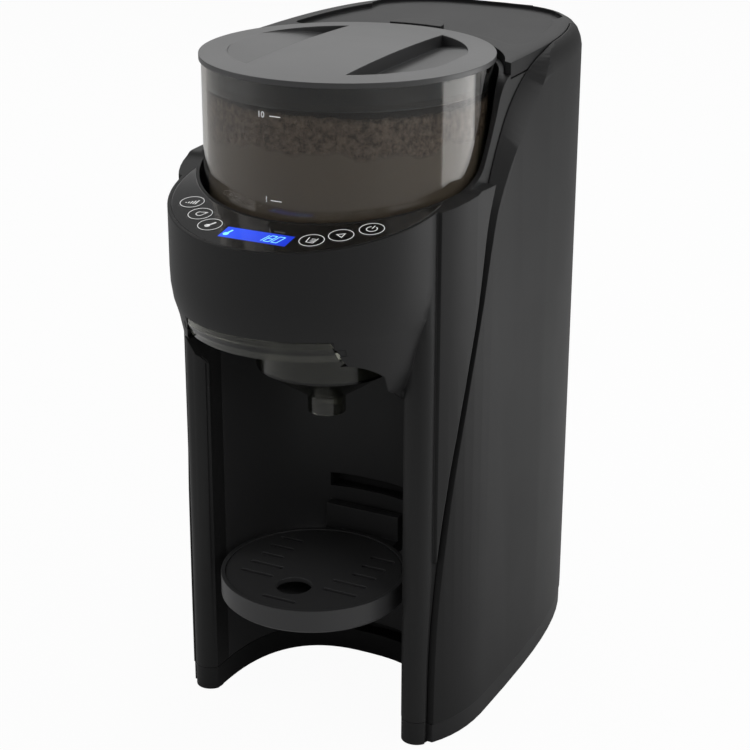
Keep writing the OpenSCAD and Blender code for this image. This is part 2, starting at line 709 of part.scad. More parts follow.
// ---- bottle stand ----
stand_hook_top = 96;
stand_floor_z = stand_top_z - stand_h;
socket_z = socket_zs[2];
tongue_half_w = socket_w / 2 - 0.6;
module bottle_stand() color([0.10, 0.10, 0.11]) at_axis() difference() {
  union() {
    translate([0, -stand_shift, stand_floor_z + 1.5]) cylinder(r = stand_r, h = stand_h - 1.5);
    translate([0, -stand_shift, stand_floor_z]) cylinder(r1 = stand_r - 1.5, r2 = stand_r, h = 1.5);
    // neck and tongue to the socket in the bay's back wall
    block(-tongue_half_w, tongue_half_w, -stand_shift + 30, bay_back_y - 4,
      socket_z + 0.3, socket_z + socket_h - 0.3);
    block(-tongue_half_w, tongue_half_w, bay_back_y - 9, bay_back_y - 3.4, socket_z + 0.3, stand_hook_top);
    block(-tongue_half_w, tongue_half_w, bay_back_y - 4, bay_back_y + socket_d - 1,
      socket_z + 0.3, socket_z + socket_h - 0.3);
  }
  translate([0, -stand_shift, stand_floor_z + stand_t]) cylinder(r = stand_r - stand_t, h = far);
}
stand_seat_z = stand_top_z - grille_t - 0.6;
module stand_grille() color([0.12, 0.12, 0.13]) at_axis() difference() {
  union() {
    translate([0, -stand_shift, stand_seat_z]) cylinder(r = stand_r - stand_t - fit_gap, h = grille_t);
    // feet that stand on the bowl's floor
    for (a = [45, 135, 225, 315]) translate([0, -stand_shift, 0]) rotate([0, 0, a])
      translate([stand_r - stand_t - 6, 0, stand_floor_z + stand_t + 0.1])
        cylinder(r = 2.5, h = stand_seat_z - stand_floor_z - stand_t, $fn = 32);
  }
  translate([0, -stand_shift - 22, stand_seat_z - 1]) cylinder(r = finger_r, h = 10, $fn = 64);
  for (i = [0:4]) both_sides() slot(i > 2 ? 15 : 21, 35, -14 - i * slot_step);
  slot(-10, 10, -stand_shift - 38.6);
}
module slot(x0, x1, y) translate([0, 0, stand_seat_z - 1]) {
  for (x = [x0 + slot_w / 2, x1 - slot_w / 2]) translate([x, y, 0]) cylinder(r = slot_w / 2, h = 10, $fn = 24);
  translate([x0 + slot_w / 2, y - slot_w / 2, 0]) cube([x1 - x0 - slot_w, slot_w, 10]);
}

// ---- water tank ----
module tank_plan(d, front) intersection() {
  plan(d);
  translate([-tank_half_w + front, tank_front_y + front]) square([2 * (tank_half_w - front), far]);
}
outlet_y = 130;
outlet_r = 9;
module water_tank() color([0.16, 0.17, 0.18, 0.85]) at_axis() difference() {
  union() {
    prism(tank_z, collar_z) tank_plan(tank_inset, 0);
    translate([0, outlet_y, tank_z - 8]) cylinder(r = outlet_r, h = 9);
  }
  prism(tank_z + tank_t, far) tank_plan(tank_inset + tank_t, tank_t);
  translate([0, outlet_y, tank_z - 9]) cylinder(r = outlet_r - 3, h = 20);
}
module tank_valve() color([0.75, 0.75, 0.76]) at_axis() translate([0, outlet_y, tank_z]) {
  translate([0, 0, tank_t + 0.2]) cylinder(r = outlet_r - 1, h = 2.5);
  translate([0, 0, -6]) cylinder(r = 2, h = 9);
}
inlet_half_w = 13;
inlet_low_z = 24;
inlet_h = 20;
inlet_front_y = rear_reach - 22;
module tank_dock() color([0.09, 0.09, 0.10]) at_axis() difference() {
  prism(base_h, tank_z - fit_gap) intersection() {
    plan(shell_t + fit_gap);
    translate([-far, frame_y + frame_t + 0.2]) square([2 * far, far]);
  }
  screw_holes();
  translate([0, outlet_y, tank_z - 10]) cylinder(r = outlet_r + 0.5, h = 20);
  translate([0, outlet_y, base_h + 4]) cylinder(r = 3, h = 60, $fn = 48);
  // place for the power inlet, from the back
  block(-inlet_half_w - 0.2, inlet_half_w + 0.2, inlet_front_y, far, inlet_low_z, inlet_low_z + inlet_h);
}
module power_inlet() color([0.04, 0.04, 0.04]) at_axis() difference() {
  block(-inlet_half_w, inlet_half_w, inlet_front_y + 0.1, plan_y(inlet_half_w, 0) - 0.4,
    inlet_low_z + 0.2, inlet_low_z + inlet_h - 0.2);
  block(-inlet_half_w + 3, inlet_half_w - 3, rear_reach - 12, far, inlet_low_z + 3.5, inlet_low_z + inlet_h - 3.5);
}
hinge_y = rear_reach - 6;
hinge_z = rim_z - 4.5;
hinge_r = 3.4;
pin_r = 1.5;
ear_x = 22;
collar_top_z = lid_recess_z - 1.5;
lid_sweep_r = norm([rear_reach - hinge_y, hinge_z - lid_recess_z]) + fit_gap;
module tank_collar() color([0.11, 0.11, 0.12]) at_axis() {
  difference() {
    union() {
      difference() {
        intersection() {
          prism(collar_z, collar_top_z) tank_plan(0, 0);
          outer_form();
        }
        prism(collar_z - 1, far) tank_plan(5, 4);
        // way for the lid's back edge as it turns
        translate([-far, hinge_y, hinge_z]) rotate([0, 90, 0]) cylinder(r = lid_sweep_r, h = 2 * far);
      }
      for (s = [-1, 1]) translate([s * (ear_x + 2.3) - 2, hinge_y - hinge_r, hinge_z - lid_sweep_r - 6])
        cube([4, 2 * hinge_r, lid_sweep_r + 6]);
      for (s = [-1, 1]) translate([s * (ear_x + 2.3) - 2, hinge_y, hinge_z]) rotate([0, 90, 0]) cylinder(r = hinge_r, h = 4, $fn = 48);
    }
    translate([-40, hinge_y, hinge_z]) rotate([0, 90, 0]) cylinder(r = pin_r + 0.05, h = 80, $fn = 40);
  }
}
module tank_hinge_pin() color([0.7, 0.7, 0.72]) at_axis()
  translate([-ear_x - 4, hinge_y, hinge_z]) rotate([0, 90, 0]) cylinder(r = pin_r, h = 2 * ear_x + 8, $fn = 40);

tank_lid_front_y = 26;
module tank_lid_plan(d) difference() {
  union() {
    plan(rim_t + 0.5 + d);
    intersection() {
      plan(0.3 + d);
      translate([-tank_half_w + 0.3 + d, tank_front_y + 30]) square([2 * (tank_half_w - 0.3 - d), far]);
    }
  }
  circle(well_r + 3 + d, $fn = 120);
  translate([-far, -far]) square([2 * far, far + tank_lid_front_y + d]);
}
module tank_lid_space() prism(lid_recess_z - 0.8, far) tank_lid_plan(-0.4);
module tank_lid() color([0.12, 0.12, 0.13]) at_axis() difference() {
  union() {
    intersection() {
      prism(lid_recess_z, rim_z + 10) tank_lid_plan(0);
      outer_form();
    }
    translate([-ear_x, hinge_y, hinge_z]) rotate([0, 90, 0]) cylinder(r = hinge_r, h = 2 * ear_x, $fn = 48);
    // finger tab behind the powder lid
    prism(lid_recess_z, rim_z + 3) intersection() {
      translate([0, well_r + 3]) circle(15);
      translate([-far, 0]) difference() {
        square([2 * far, far]);
        translate([far, 0]) circle(well_r + 3, $fn = 120);
      }
    }
  }
  // shallow dish in the top
  prism(rim_z - 2.2, far) difference() {
    offset(r = 6) offset(delta = -6) tank_lid_plan(9);
    translate([0, well_r + 3]) circle(17);
  }
  // room for the hinge ears, and the pin's bore
  for (s = [-1, 1]) block(s * (ear_x + 2.3) - 2.4, s * (ear_x + 2.3) + 2.4, hinge_y - hinge_r - 0.6, far, 0, far);
  translate([-40, hinge_y, hinge_z]) rotate([0, 90, 0]) cylinder(r = pin_r + 0.05, h = 80, $fn = 40);
}

front_legs();
bay_wall();
head_housing();
rear_shell();
base_ring();
bay_liner();
inner_frame();
control_panel();
display();
drive_motor();
water_nozzle();
water_pump();
water_heater();
circuit_board();
tank_dock();
power_inlet();
feet();
base_screws();
drive_coupling();
powder_container();
powder_lid();
lid_seal();
dispensing_wheel();
stirrer();
funnel();
funnel_cover();
bottle_stand();
stand_grille();
water_tank();
tank_collar();
tank_lid();
tank_hinge_pin();
tank_valve();
button_strength();
button_water();
button_heat();
button_volume();
button_start();
button_power();
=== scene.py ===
# %% [markdown]
# # Dressing a baby formula maker
#
# The machine stands on a kitchen counter. A clear powder container sits on a round head,
# a funnel drawer hangs under the head, a round stand lies in the open bay below, and a
# water tank fills the back. The solid model is already packed with every piece in its
# place, so this notebook loads it, lights it, gives each piece its finish and adds what is
# too fine for the solid model: smooth skins, printed rings and signs, the lit figures, the
# level marks and the powder itself.

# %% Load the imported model
import bpy
import math
from mathutils import Matrix, Vector, noise


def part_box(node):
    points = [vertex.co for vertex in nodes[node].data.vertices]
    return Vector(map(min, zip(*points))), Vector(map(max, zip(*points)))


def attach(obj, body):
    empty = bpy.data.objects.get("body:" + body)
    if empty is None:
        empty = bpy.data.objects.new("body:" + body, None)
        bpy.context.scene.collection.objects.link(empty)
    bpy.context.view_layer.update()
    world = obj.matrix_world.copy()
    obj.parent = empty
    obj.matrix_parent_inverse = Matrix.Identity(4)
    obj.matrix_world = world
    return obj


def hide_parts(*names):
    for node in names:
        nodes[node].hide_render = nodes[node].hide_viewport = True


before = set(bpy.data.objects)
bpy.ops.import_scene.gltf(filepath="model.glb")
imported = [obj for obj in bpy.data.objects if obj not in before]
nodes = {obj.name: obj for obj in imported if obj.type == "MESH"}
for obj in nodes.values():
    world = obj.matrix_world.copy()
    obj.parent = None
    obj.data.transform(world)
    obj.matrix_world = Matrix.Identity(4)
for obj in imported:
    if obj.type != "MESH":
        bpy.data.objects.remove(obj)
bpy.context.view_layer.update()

# %% [markdown]
# ## Sizes that the dressing shares
#
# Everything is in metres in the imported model's own frame. The container's axis is read
# from the container itself, so that pieces placed round it stay centred on it.

# %% Shared sizes
MM = 0.001
low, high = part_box("powder_container")
AXIS_Y = (low.y + high.y) / 2
HOPPER_R = (high.x - low.x) / 2
DECK_Z = 302.5 * MM
DECK_TILT = math.radians(10)
print("container axis y", round(AXIS_Y, 4), "radius", round(HOPPER_R, 4))


def deck_matrix(x_mm, y_mm, lift=0.0):
    """A place on the sloping deck, x and y from the container's axis, lift along the deck's normal."""
    z = DECK_Z + y_mm * MM * math.tan(DECK_TILT)
    turn = Matrix.Rotation(DECK_TILT, 4, "X")
    return Matrix.Translation((x_mm * MM, AXIS_Y + y_mm * MM, z)) @ turn @ Matrix.Translation((0, 0, lift))


# %% [markdown]
# ## Camera
#
# The picture was taken from the front and right, a little above the machine, with a long
# lens. The camera's place and its three angles were worked out from the round rims, which
# show as ellipses, and the camera is built from them directly.

# %% Camera
CAMERA_AT = Vector((0.4504, -0.89565, 0.5589))
YAW, PITCH, ROLL = math.radians(26.83), math.radians(21.21), math.radians(0.18)
LENS_PIXELS, PICTURE_PIXELS = 1941, 750
SENSOR_WIDTH = 36

forward = Vector((-math.sin(YAW) * math.cos(PITCH), math.cos(YAW) * math.cos(PITCH), -math.sin(PITCH)))
level = Vector((math.cos(YAW), math.sin(YAW), 0))
upward = level.cross(forward)
right = math.cos(ROLL) * level + math.sin(ROLL) * upward
up = -math.sin(ROLL) * level + math.cos(ROLL) * upward

camera_data = bpy.data.cameras.new("camera")
camera_data.sensor_width = SENSOR_WIDTH
camera_data.lens = LENS_PIXELS / PICTURE_PIXELS * camera_data.sensor_width
camera = bpy.data.objects.new("camera", camera_data)
bpy.context.scene.collection.objects.link(camera)
turned = Matrix((right, up, -forward)).transposed().to_4x4()
camera.matrix_world = Matrix.Translation(CAMERA_AT) @ turned
bpy.context.scene.camera = camera
print("lens", round(camera_data.lens, 1), "mm")

# %% [markdown]
# ## Surroundings
#
# Dark satin plastic shows little of its own colour: what is seen is mostly what it
# reflects. So the surroundings are an even dim white. They are at full white only for the
# camera and through clear plastic, so that reflections stay as dim as the room while the
# background is white, as in a product picture.

# %% Colour settings and world
ROOM_STRENGTH = 0.26
BACKGROUND_STRENGTH = 1.0

bpy.context.scene.view_settings.view_transform = "Standard"
world = bpy.data.worlds.new("studio")
bpy.context.scene.world = world
world.use_nodes = True
world_tree = world.node_tree
world_tree.nodes.clear()
world_out = world_tree.nodes.new("ShaderNodeOutputWorld")
room_light = world_tree.nodes.new("ShaderNodeBackground")
room_light.inputs["Color"].default_value = (1, 1, 1, 1)
room_light.inputs["Strength"].default_value = ROOM_STRENGTH
white_room = world_tree.nodes.new("ShaderNodeBackground")
white_room.inputs["Color"].default_value = (1, 1, 1, 1)
white_room.inputs["Strength"].default_value = BACKGROUND_STRENGTH
seen = world_tree.nodes.new("ShaderNodeLightPath")
either = world_tree.nodes.new("ShaderNodeMath")
either.operation = "MAXIMUM"
pick = world_tree.nodes.new("ShaderNodeMixShader")
world_tree.links.new(seen.outputs["Is Camera Ray"], either.inputs[0])
world_tree.links.new(seen.outputs["Is Transmission Ray"], either.inputs[1])
world_tree.links.new(either.outputs[0], pick.inputs[0])
world_tree.links.new(room_light.outputs[0], pick.inputs[1])
world_tree.links.new(white_room.outputs[0], pick.inputs[2])
world_tree.links.new(pick.outputs[0], world_out.inputs["Surface"])
print("world", world.name, "at", ROOM_STRENGTH)

# %% [markdown]
# ## Lamps
#
# The lamps are large and soft, because small ones would leave hard spots on satin plastic.
# One stands high on the right, one on the left and one over the back. A far one behind
# lies where level surfaces mirror it, which lifts the lid from the sides, and a low one on
# the right draws the bright band down the container. The camera doesn't see these two.

# %% Lamps


def soft_lamp(name, place, look_at, width, height, watts):
    """A large soft lamp that faces a point."""
    data = bpy.data.lights.new(name, "AREA")
    data.shape = "RECTANGLE"
    data.size, data.size_y = width, height
    data.energy = watts
    lamp = bpy.data.objects.new(name, data)
    bpy.context.scene.collection.objects.link(lamp)
    direction = (Vector(look_at) - Vector(place)).normalized()
    lamp.rotation_euler = direction.to_track_quat("-Z", "Y").to_euler()
    lamp.location = place
    return lamp


middle = (0, 0, 0.2)
lid_place = (0.0, 0.0, 0.36)
container_side = (0.05, 0.0, 0.25)
soft_lamp("lamp_right", (1.5, -0.6, 1.1), middle, width=1.0, height=1.4, watts=5)
soft_lamp("lamp_left", (-1.5, -0.9, 0.9), middle, width=0.9, height=1.4, watts=5)
soft_lamp("lamp_back", (0.1, 0.9, 1.7), middle, width=1.6, height=0.8, watts=9)
far_lamp = soft_lamp("lamp_far", (-0.8, 1.55, 1.0), lid_place, width=1.8, height=0.7, watts=3.5)
low_lamp = soft_lamp("lamp_low_right", (0.62, 0.36, 0.2), container_side, width=0.5, height=0.4, watts=1.3)
for lamp in (far_lamp, low_lamp):
    lamp.visible_camera = False
print("five lamps, two of them hidden from the camera")

# %% [markdown]
# ## Floor
#
# The floor is one plain pale sheet. Seen by the camera it is lifted most of the way to
# white, so that it runs into the background, and the rest keeps the object's shadow.

# %% Floor
FLOOR_SIZE = 16
FLOOR_GREY = 0.88
WHITE_SHARE = 0.96

bpy.ops.object.select_all(action="DESELECT")
bpy.ops.mesh.primitive_plane_add(size=FLOOR_SIZE, location=(0, 0, 0))
floor = bpy.context.object
floor.name = "floor"
floor_paint = bpy.data.materials.new("pale_floor")
floor_paint.use_nodes = True
floor_tree = floor_paint.node_tree
floor_tree.nodes.clear()
floor_out = floor_tree.nodes.new("ShaderNodeOutputMaterial")
floor_matte = floor_tree.nodes.new("ShaderNodeBsdfDiffuse")
floor_matte.inputs["Color"].default_value = (FLOOR_GREY, FLOOR_GREY, FLOOR_GREY, 1)
floor_white = floor_tree.nodes.new("ShaderNodeEmission")
floor_white.inputs["Strength"].default_value = 1.0
floor_seen = floor_tree.nodes.new("ShaderNodeLightPath")
floor_share = floor_tree.nodes.new("ShaderNodeMath")
floor_share.operation = "MULTIPLY"
floor_share.inputs[1].default_value = WHITE_SHARE
floor_mix = floor_tree.nodes.new("ShaderNodeMixShader")
floor_tree.links.new(floor_seen.outputs["Is Camera Ray"], floor_share.inputs[0])
floor_tree.links.new(floor_share.outputs[0], floor_mix.inputs[0])
floor_tree.links.new(floor_matte.outputs[0], floor_mix.inputs[1])
floor_tree.links.new(floor_white.outputs[0], floor_mix.inputs[2])
floor_tree.links.new(floor_mix.outputs[0], floor_out.inputs["Surface"])
floor.data.materials.append(floor_paint)
print("floor of", FLOOR_SIZE, "m")

# %% [markdown]
# ## Effects that several finishes share
#
# Moulded plastic has a fine even grain from the mould, faint cloudy patches in its gloss,
# and edges that catch the light because they are never quite sharp. Each of these is one
# node group, with named sockets, that every finish places with its own values.

# %% Node group: mould grain


def new_group(name, inputs, outputs):
    """An empty shader group with the given sockets, its input and output nodes."""
    group = bpy.data.node_groups.new(name, "ShaderNodeTree")
    for label, kind, value in inputs:
        made = group.interface.new_socket(name=label, in_out="INPUT", socket_type=kind)
        if value is not None:
            made.default_value = value
    for label, kind in outputs:
        group.interface.new_socket(name=label, in_out="OUTPUT", socket_type=kind)
    return group, group.nodes.new("NodeGroupInput"), group.nodes.new("NodeGroupOutput")


def math_node(tree, operation, a=None, b=None, clamp=False):
    """A math node; a and b are numbers or sockets."""
    node = tree.nodes.new("ShaderNodeMath")
    node.operation = operation
    node.use_clamp = clamp
    for index, value in enumerate((a, b)):
        if value is None:
            continue
        if isinstance(value, (int, float)):
            node.inputs[index].default_value = value
        else:
            tree.links.new(value, node.inputs[index])
    return node.outputs[0]


grain, grain_in, grain_out = new_group(
    "mould_grain",
    [("Grain Size", "NodeSocketFloat", 1400.0), ("Patch Size", "NodeSocketFloat", 25.0),
     ("Roughness", "NodeSocketFloat", 0.4), ("Roughness Spread", "NodeSocketFloat", 0.08)],
    [("Height", "NodeSocketFloat"), ("Roughness", "NodeSocketFloat"), ("Patch", "NodeSocketFloat")],
)
grain_place = grain.nodes.new("ShaderNodeTexCoord")
fine_grain = grain.nodes.new("ShaderNodeTexNoise")
fine_grain.inputs["Detail"].default_value = 2
cloud_patch = grain.nodes.new("ShaderNodeTexNoise")
cloud_patch.inputs["Detail"].default_value = 4
grain.links.new(grain_place.outputs["Object"], fine_grain.inputs["Vector"])
grain.links.new(grain_place.outputs["Object"], cloud_patch.inputs["Vector"])
grain.links.new(grain_in.outputs["Grain Size"], fine_grain.inputs["Scale"])
grain.links.new(grain_in.outputs["Patch Size"], cloud_patch.inputs["Scale"])
centred = math_node(grain, "SUBTRACT", cloud_patch.outputs["Fac"], 0.5)
spread = math_node(grain, "MULTIPLY", centred, grain_in.outputs["Roughness Spread"])
cloudy = math_node(grain, "ADD", grain_in.outputs["Roughness"], spread)
grain.links.new(cloudy, grain_out.inputs["Roughness"])
grain.links.new(fine_grain.outputs["Fac"], grain_out.inputs["Height"])
grain.links.new(cloud_patch.outputs["Fac"], grain_out.inputs["Patch"])
print("group", grain.name)

# %% [markdown]
# The edge effect compares the true normal with one that is rounded over a small radius.
# Where the two differ there is an edge: its colour is lifted a little, a painted highlight
# along the edge, and the rounded normal makes it catch the light as a real moulded edge does.

# %% Node group: soft edges
EDGE_RADIUS = 0.0007
EDGE_SAMPLES = 6
EDGE_GAIN = 4.0

edges, edges_in, edges_out = new_group(
    "soft_edges",
    [("Lift", "NodeSocketFloat", 0.3), ("Color", "NodeSocketColor", (0.03, 0.03, 0.03, 1)),
     ("Highlight Color", "NodeSocketColor", (0.1, 0.1, 0.1, 1))],
    [("Color", "NodeSocketColor"), ("Normal", "NodeSocketVector"), ("Mask", "NodeSocketFloat")],
)
round_normal = edges.nodes.new("ShaderNodeBevel")
round_normal.samples = EDGE_SAMPLES
round_normal.inputs["Radius"].default_value = EDGE_RADIUS
true_normal = edges.nodes.new("ShaderNodeNewGeometry")
dot = edges.nodes.new("ShaderNodeVectorMath")
dot.operation = "DOT_PRODUCT"
edges.links.new(round_normal.outputs["Normal"], dot.inputs[0])
edges.links.new(true_normal.outputs["Normal"], dot.inputs[1])
away = math_node(edges, "SUBTRACT", 1.0, dot.outputs["Value"])
mask = math_node(edges, "MULTIPLY", away, EDGE_GAIN, clamp=True)
lifted = math_node(edges, "MULTIPLY", mask, edges_in.outputs["Lift"])
# The lighter colour on edges is a painted highlight
blend_colors = edges.nodes.new("ShaderNodeMix")
blend_colors.data_type = "RGBA"
edges.links.new(lifted, blend_colors.inputs["Factor"])
edges.links.new(edges_in.outputs["Color"], blend_colors.inputs[6])
edges.links.new(edges_in.outputs["Highlight Color"], blend_colors.inputs[7])
edges.links.new(blend_colors.outputs[2], edges_out.inputs["Color"])
edges.links.new(round_normal.outputs["Normal"], edges_out.inputs["Normal"])
edges.links.new(mask, edges_out.inputs["Mask"])
print("group", edges.name)

# %% [markdown]
# ## Moulded plastic
#
# Nearly all of the machine is black ABS in a few finishes: satin on the body, a little
# lighter on the side shell, glossy on the control panel. One function builds the
# material, and each finish gives its colour, its roughness and how strong its grain is.

# %% Moulded plastic
GRAIN_SIZE = 1400
GRAIN_STRENGTH = 0.35
COAT_ROUGHNESS = 0.08
# How strongly edges are lifted and how much lighter they get: a painted highlight
EDGE_LIFT = 0.25
HIGHLIGHT_TIMES, HIGHLIGHT_PLUS = 2.2, 0.03
BUTTONS = ("strength", "water", "heat", "volume", "start", "power")


def place_group(tree, group):
    """Places a shared node group in a material."""
    node = tree.nodes.new("ShaderNodeGroup")
    node.node_tree = group
    return node


def moulded(name, color, roughness, spread=0.06, grain_depth=0.02, specular=0.5, coat=0.0):
    """Moulded plastic with grain, cloudy gloss and soft edges; the grain's depth is in millimetres."""
    material = bpy.data.materials.new(name)
    material.use_nodes = True
    tree = material.node_tree
    shader = tree.nodes["Principled BSDF"]
    shader.inputs["Specular IOR Level"].default_value = specular
    shader.inputs["Coat Weight"].default_value = coat
    shader.inputs["Coat Roughness"].default_value = COAT_ROUGHNESS
    surface = place_group(tree, grain)
    surface.inputs["Grain Size"].default_value = GRAIN_SIZE
    surface.inputs["Roughness"].default_value = roughness
    surface.inputs["Roughness Spread"].default_value = spread
    rim = place_group(tree, edges)
    rim.inputs["Lift"].default_value = EDGE_LIFT
    rim.inputs["Color"].default_value = (*color, 1)
    # Edges are lifted towards this lighter colour: a painted highlight
    rim.inputs["Highlight Color"].default_value = (*[min(1, c * HIGHLIGHT_TIMES + HIGHLIGHT_PLUS) for c in color], 1)
    bump = tree.nodes.new("ShaderNodeBump")
    bump.inputs["Strength"].default_value = GRAIN_STRENGTH
    bump.inputs["Distance"].default_value = grain_depth * MM
    tree.links.new(surface.outputs["Height"], bump.inputs["Height"])
    tree.links.new(rim.outputs["Normal"], bump.inputs["Normal"])
    tree.links.new(bump.outputs["Normal"], shader.inputs["Normal"])
    tree.links.new(surface.outputs["Roughness"], shader.inputs["Roughness"])
    tree.links.new(rim.outputs["Color"], shader.inputs["Base Color"])
    return material


def wear(node_name, material):
    """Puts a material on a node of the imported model."""
    mesh = nodes[node_name].data
    mesh.materials.clear()
    mesh.materials.append(material)


finishes = {
    "body_satin": moulded("body_satin", (0.021, 0.021, 0.0212), 0.48, specular=0.24),
    "shell_satin": moulded("shell_satin", (0.015, 0.015, 0.0152), 0.5, specular=0.2),
    "base_satin": moulded("base_satin", (0.014, 0.014, 0.0145), 0.5, specular=0.3),
    # The bay's black is lighter than the body's: painted fill light for the shade in the open bay
    "bay_satin_painted_fill": moulded("bay_satin_painted_fill", (0.045, 0.045, 0.046), 0.5, specular=0.25),
    "panel_gloss": moulded(
        "panel_gloss", (0.004, 0.004, 0.004), 0.07, spread=0.03, grain_depth=0.001, coat=0.4),
    # The lid's grey is partly its own colour and partly a painted sheen for the light its level top mirrors
    "lid_satin": moulded("lid_satin", (0.06, 0.06, 0.061), 0.36, specular=0.6),
    "tank_lid_satin": moulded("tank_lid_satin", (0.02, 0.02, 0.0205), 0.44, specular=0.15),
    # The stand's black is lighter too: painted fill light for the shade in the bay
    "stand_satin_painted_fill": moulded("stand_satin_painted_fill", (0.05, 0.05, 0.051), 0.42, specular=0.4),
    "button_gloss": moulded("button_gloss", (0.006, 0.006, 0.006), 0.12, spread=0.03, grain_depth=0.001),
    "white_plastic": moulded("white_plastic", (0.62, 0.62, 0.58), 0.4),
    "pump_plastic": moulded("pump_plastic", (0.08, 0.08, 0.085), 0.5),
    "board_lacquer": moulded("board_lacquer", (0.02, 0.12, 0.05), 0.3),
    "foot_rubber": moulded("foot_rubber", (0.012, 0.012, 0.012), 0.8, specular=0.2),
    "tank_smoke": moulded("tank_smoke", (0.018, 0.019, 0.021), 0.14, spread=0.04, grain_depth=0.002),
}
for node_name, finish in {
    "inner_frame": "base_satin", "control_panel": "panel_gloss",
    "tank_dock": "base_satin", "power_inlet": "base_satin", "feet": "foot_rubber",
    "powder_lid": "lid_satin", "bottle_stand": "stand_satin_painted_fill", "stand_grille": "stand_satin_painted_fill",
    "dispensing_wheel": "white_plastic", "stirrer": "white_plastic", "water_pump": "pump_plastic",
    "circuit_board": "board_lacquer",
}.items():
    wear(node_name, finishes[finish])
for key in BUTTONS:
    wear("button_" + key, finishes["button_gloss"])
print(len(finishes), "plastic finishes")

# %% [markdown]
# ## Smooth skins
#
# The sides of the body are drawn in the solid model as many narrow flats. Each of these
# pieces is copied, its touching points are merged and its shading made smooth, and the
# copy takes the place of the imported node. The legs, the bay's wall and the head are one
# moulding on the real machine, so their three nodes are united into one skin, without
# the flat joints between them.

# %% Smooth skins
SAME_POINT = 0.000001
SKIN_ANGLE = 30


def pick_only(objects):
    """Selects the given objects alone, the first one active."""
    bpy.ops.object.select_all(action="DESELECT")
    for item in objects:
        item.select_set(True)
    bpy.context.view_layer.objects.active = objects[0]


def edit(obj, *steps):
    """Runs mesh steps on everything in the object, in edit mode."""
    pick_only([obj])
    bpy.ops.object.mode_set(mode="EDIT")
    for step in steps:
        bpy.ops.mesh.select_all(action="SELECT")
        step()
    bpy.ops.object.mode_set(mode="OBJECT")


def merged_copy(name, source):
    """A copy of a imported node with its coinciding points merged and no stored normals."""
    copy = bpy.data.objects.new(name, nodes[source].data.copy())
    bpy.context.scene.collection.objects.link(copy)
    pick_only([copy])
    bpy.ops.mesh.customdata_custom_splitnormals_clear()
    edit(copy, lambda: bpy.ops.mesh.remove_doubles(threshold=SAME_POINT))
    return copy


def smooth_skin(name, sources, body, finish):
    """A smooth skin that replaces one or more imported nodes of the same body."""
    skin = merged_copy(name, sources[0])
    for source in sources[1:]:
        other = merged_copy(source + "_part", source)
        union = skin.modifiers.new("union", "BOOLEAN")
        union.operation = "UNION"
        union.solver = "EXACT"
        union.object = other
        pick_only([skin])
        bpy.ops.object.modifier_apply(modifier=union.name)
        bpy.data.objects.remove(other)
    pick_only([skin])
    bpy.ops.object.shade_smooth_by_angle(angle=math.radians(SKIN_ANGLE))
    skin.data.materials.clear()
    skin.data.materials.append(finishes[finish])
    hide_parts(*sources)
    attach(skin, body)
    print(name, len(skin.data.polygons), "faces")
    return skin


front_skin = smooth_skin("front_skin", ["head_housing", "front_legs", "bay_wall"], "housing", "body_satin")
smooth_skin("shell_skin", ["rear_shell"], "housing", "shell_satin")
smooth_skin("base_skin", ["base_ring"], "housing", "base_satin")
smooth_skin("bay_skin", ["bay_liner"], "housing", "bay_satin_painted_fill")
smooth_skin("tank_skin", ["water_tank"], "tank", "tank_smoke")
smooth_skin("collar_skin", ["tank_collar"], "tank", "tank_lid_satin")
smooth_skin("tank_lid_skin", ["tank_lid"], "tank_cover", "tank_lid_satin")

# %% [markdown]
# ## Drawn-in chin
#
# Below the deck the head's round front draws in towards the legs in a soft curve. In the
# solid model the chin is a little full, so the skin's points on it are pulled in here, by
# an amount that depends on their height, and its lowest edge is raised. The funnel
# drawer's lip gets the same treatment: one more ring of points, and then its face leans in
# under the head. The walls of the drawer's rail slots come in with the chin by under a
# millimetre, which is more than their clearance, so the pulled-out rails cut into them.

# %% Chin and lip
# Millimetres: the head's axis from the container's axis, then pairs of height and value
# for the chin's radius in the solid model, how far it is pulled in and how far raised
HEAD_Y = -38.0
CHIN_OLD = [(196, 60.5), (206, 63), (216, 65.6), (226, 67.9), (234, 70), (242, 71.4), (250, 72)]
CHIN_PULL = [(196, 1.1), (206, 1.7), (216, 0.7), (226, 1.1), (234, 1.6), (242, 0.6), (250, 0)]
CHIN_RAISE = [(196, 6.7), (206, 0), (250, 0)]
CHIN_BOTTOM, CHIN_TOP = 195.5, 249.5
ON_CHIN = 0.3

# The lip in millimetres: how far each height is pulled in, and which points belong to it
LIP_PULL = [(226, 5.0), (234.5, 0.9), (238.5, 0)]
LIP_REACH, LIP_BOTTOM = 64.8, 225.5
LIP_RING_Z = 0.2345
LIP_ANGLE = 12


def at_height(table, z_mm):
    """The value of a table of (height, value) pairs at a height."""
    for (z0, v0), (z1, v1) in zip(table, table[1:]):
        if z_mm <= z1:
            break
    return v0 + (v1 - v0) * (z_mm - z0) / (z1 - z0)


def around_head(point):
    """Distance from the head's axis and height, in millimetres."""
    return math.hypot(point.x / MM, (point.y - AXIS_Y) / MM - HEAD_Y), point.z / MM


def pull_in(vertex, reach, by_mm, raise_mm=0.0):
    """Moves a point towards the head's axis, and up."""
    share = (reach - by_mm) / reach
    centre_y = AXIS_Y + HEAD_Y * MM
    y = centre_y + (vertex.co.y - centre_y) * share
    vertex.co = (vertex.co.x * share, y, vertex.co.z + raise_mm * MM)


moved = 0
for vertex in front_skin.data.vertices:
    reach, z_mm = around_head(vertex.co)
    in_front = CHIN_BOTTOM < z_mm < CHIN_TOP and vertex.co.y < AXIS_Y
    if in_front and abs(reach - at_height(CHIN_OLD, z_mm)) < ON_CHIN:
        pull_in(vertex, reach, at_height(CHIN_PULL, z_mm), at_height(CHIN_RAISE, z_mm))
        moved += 1
print("chin points pulled in:", moved)

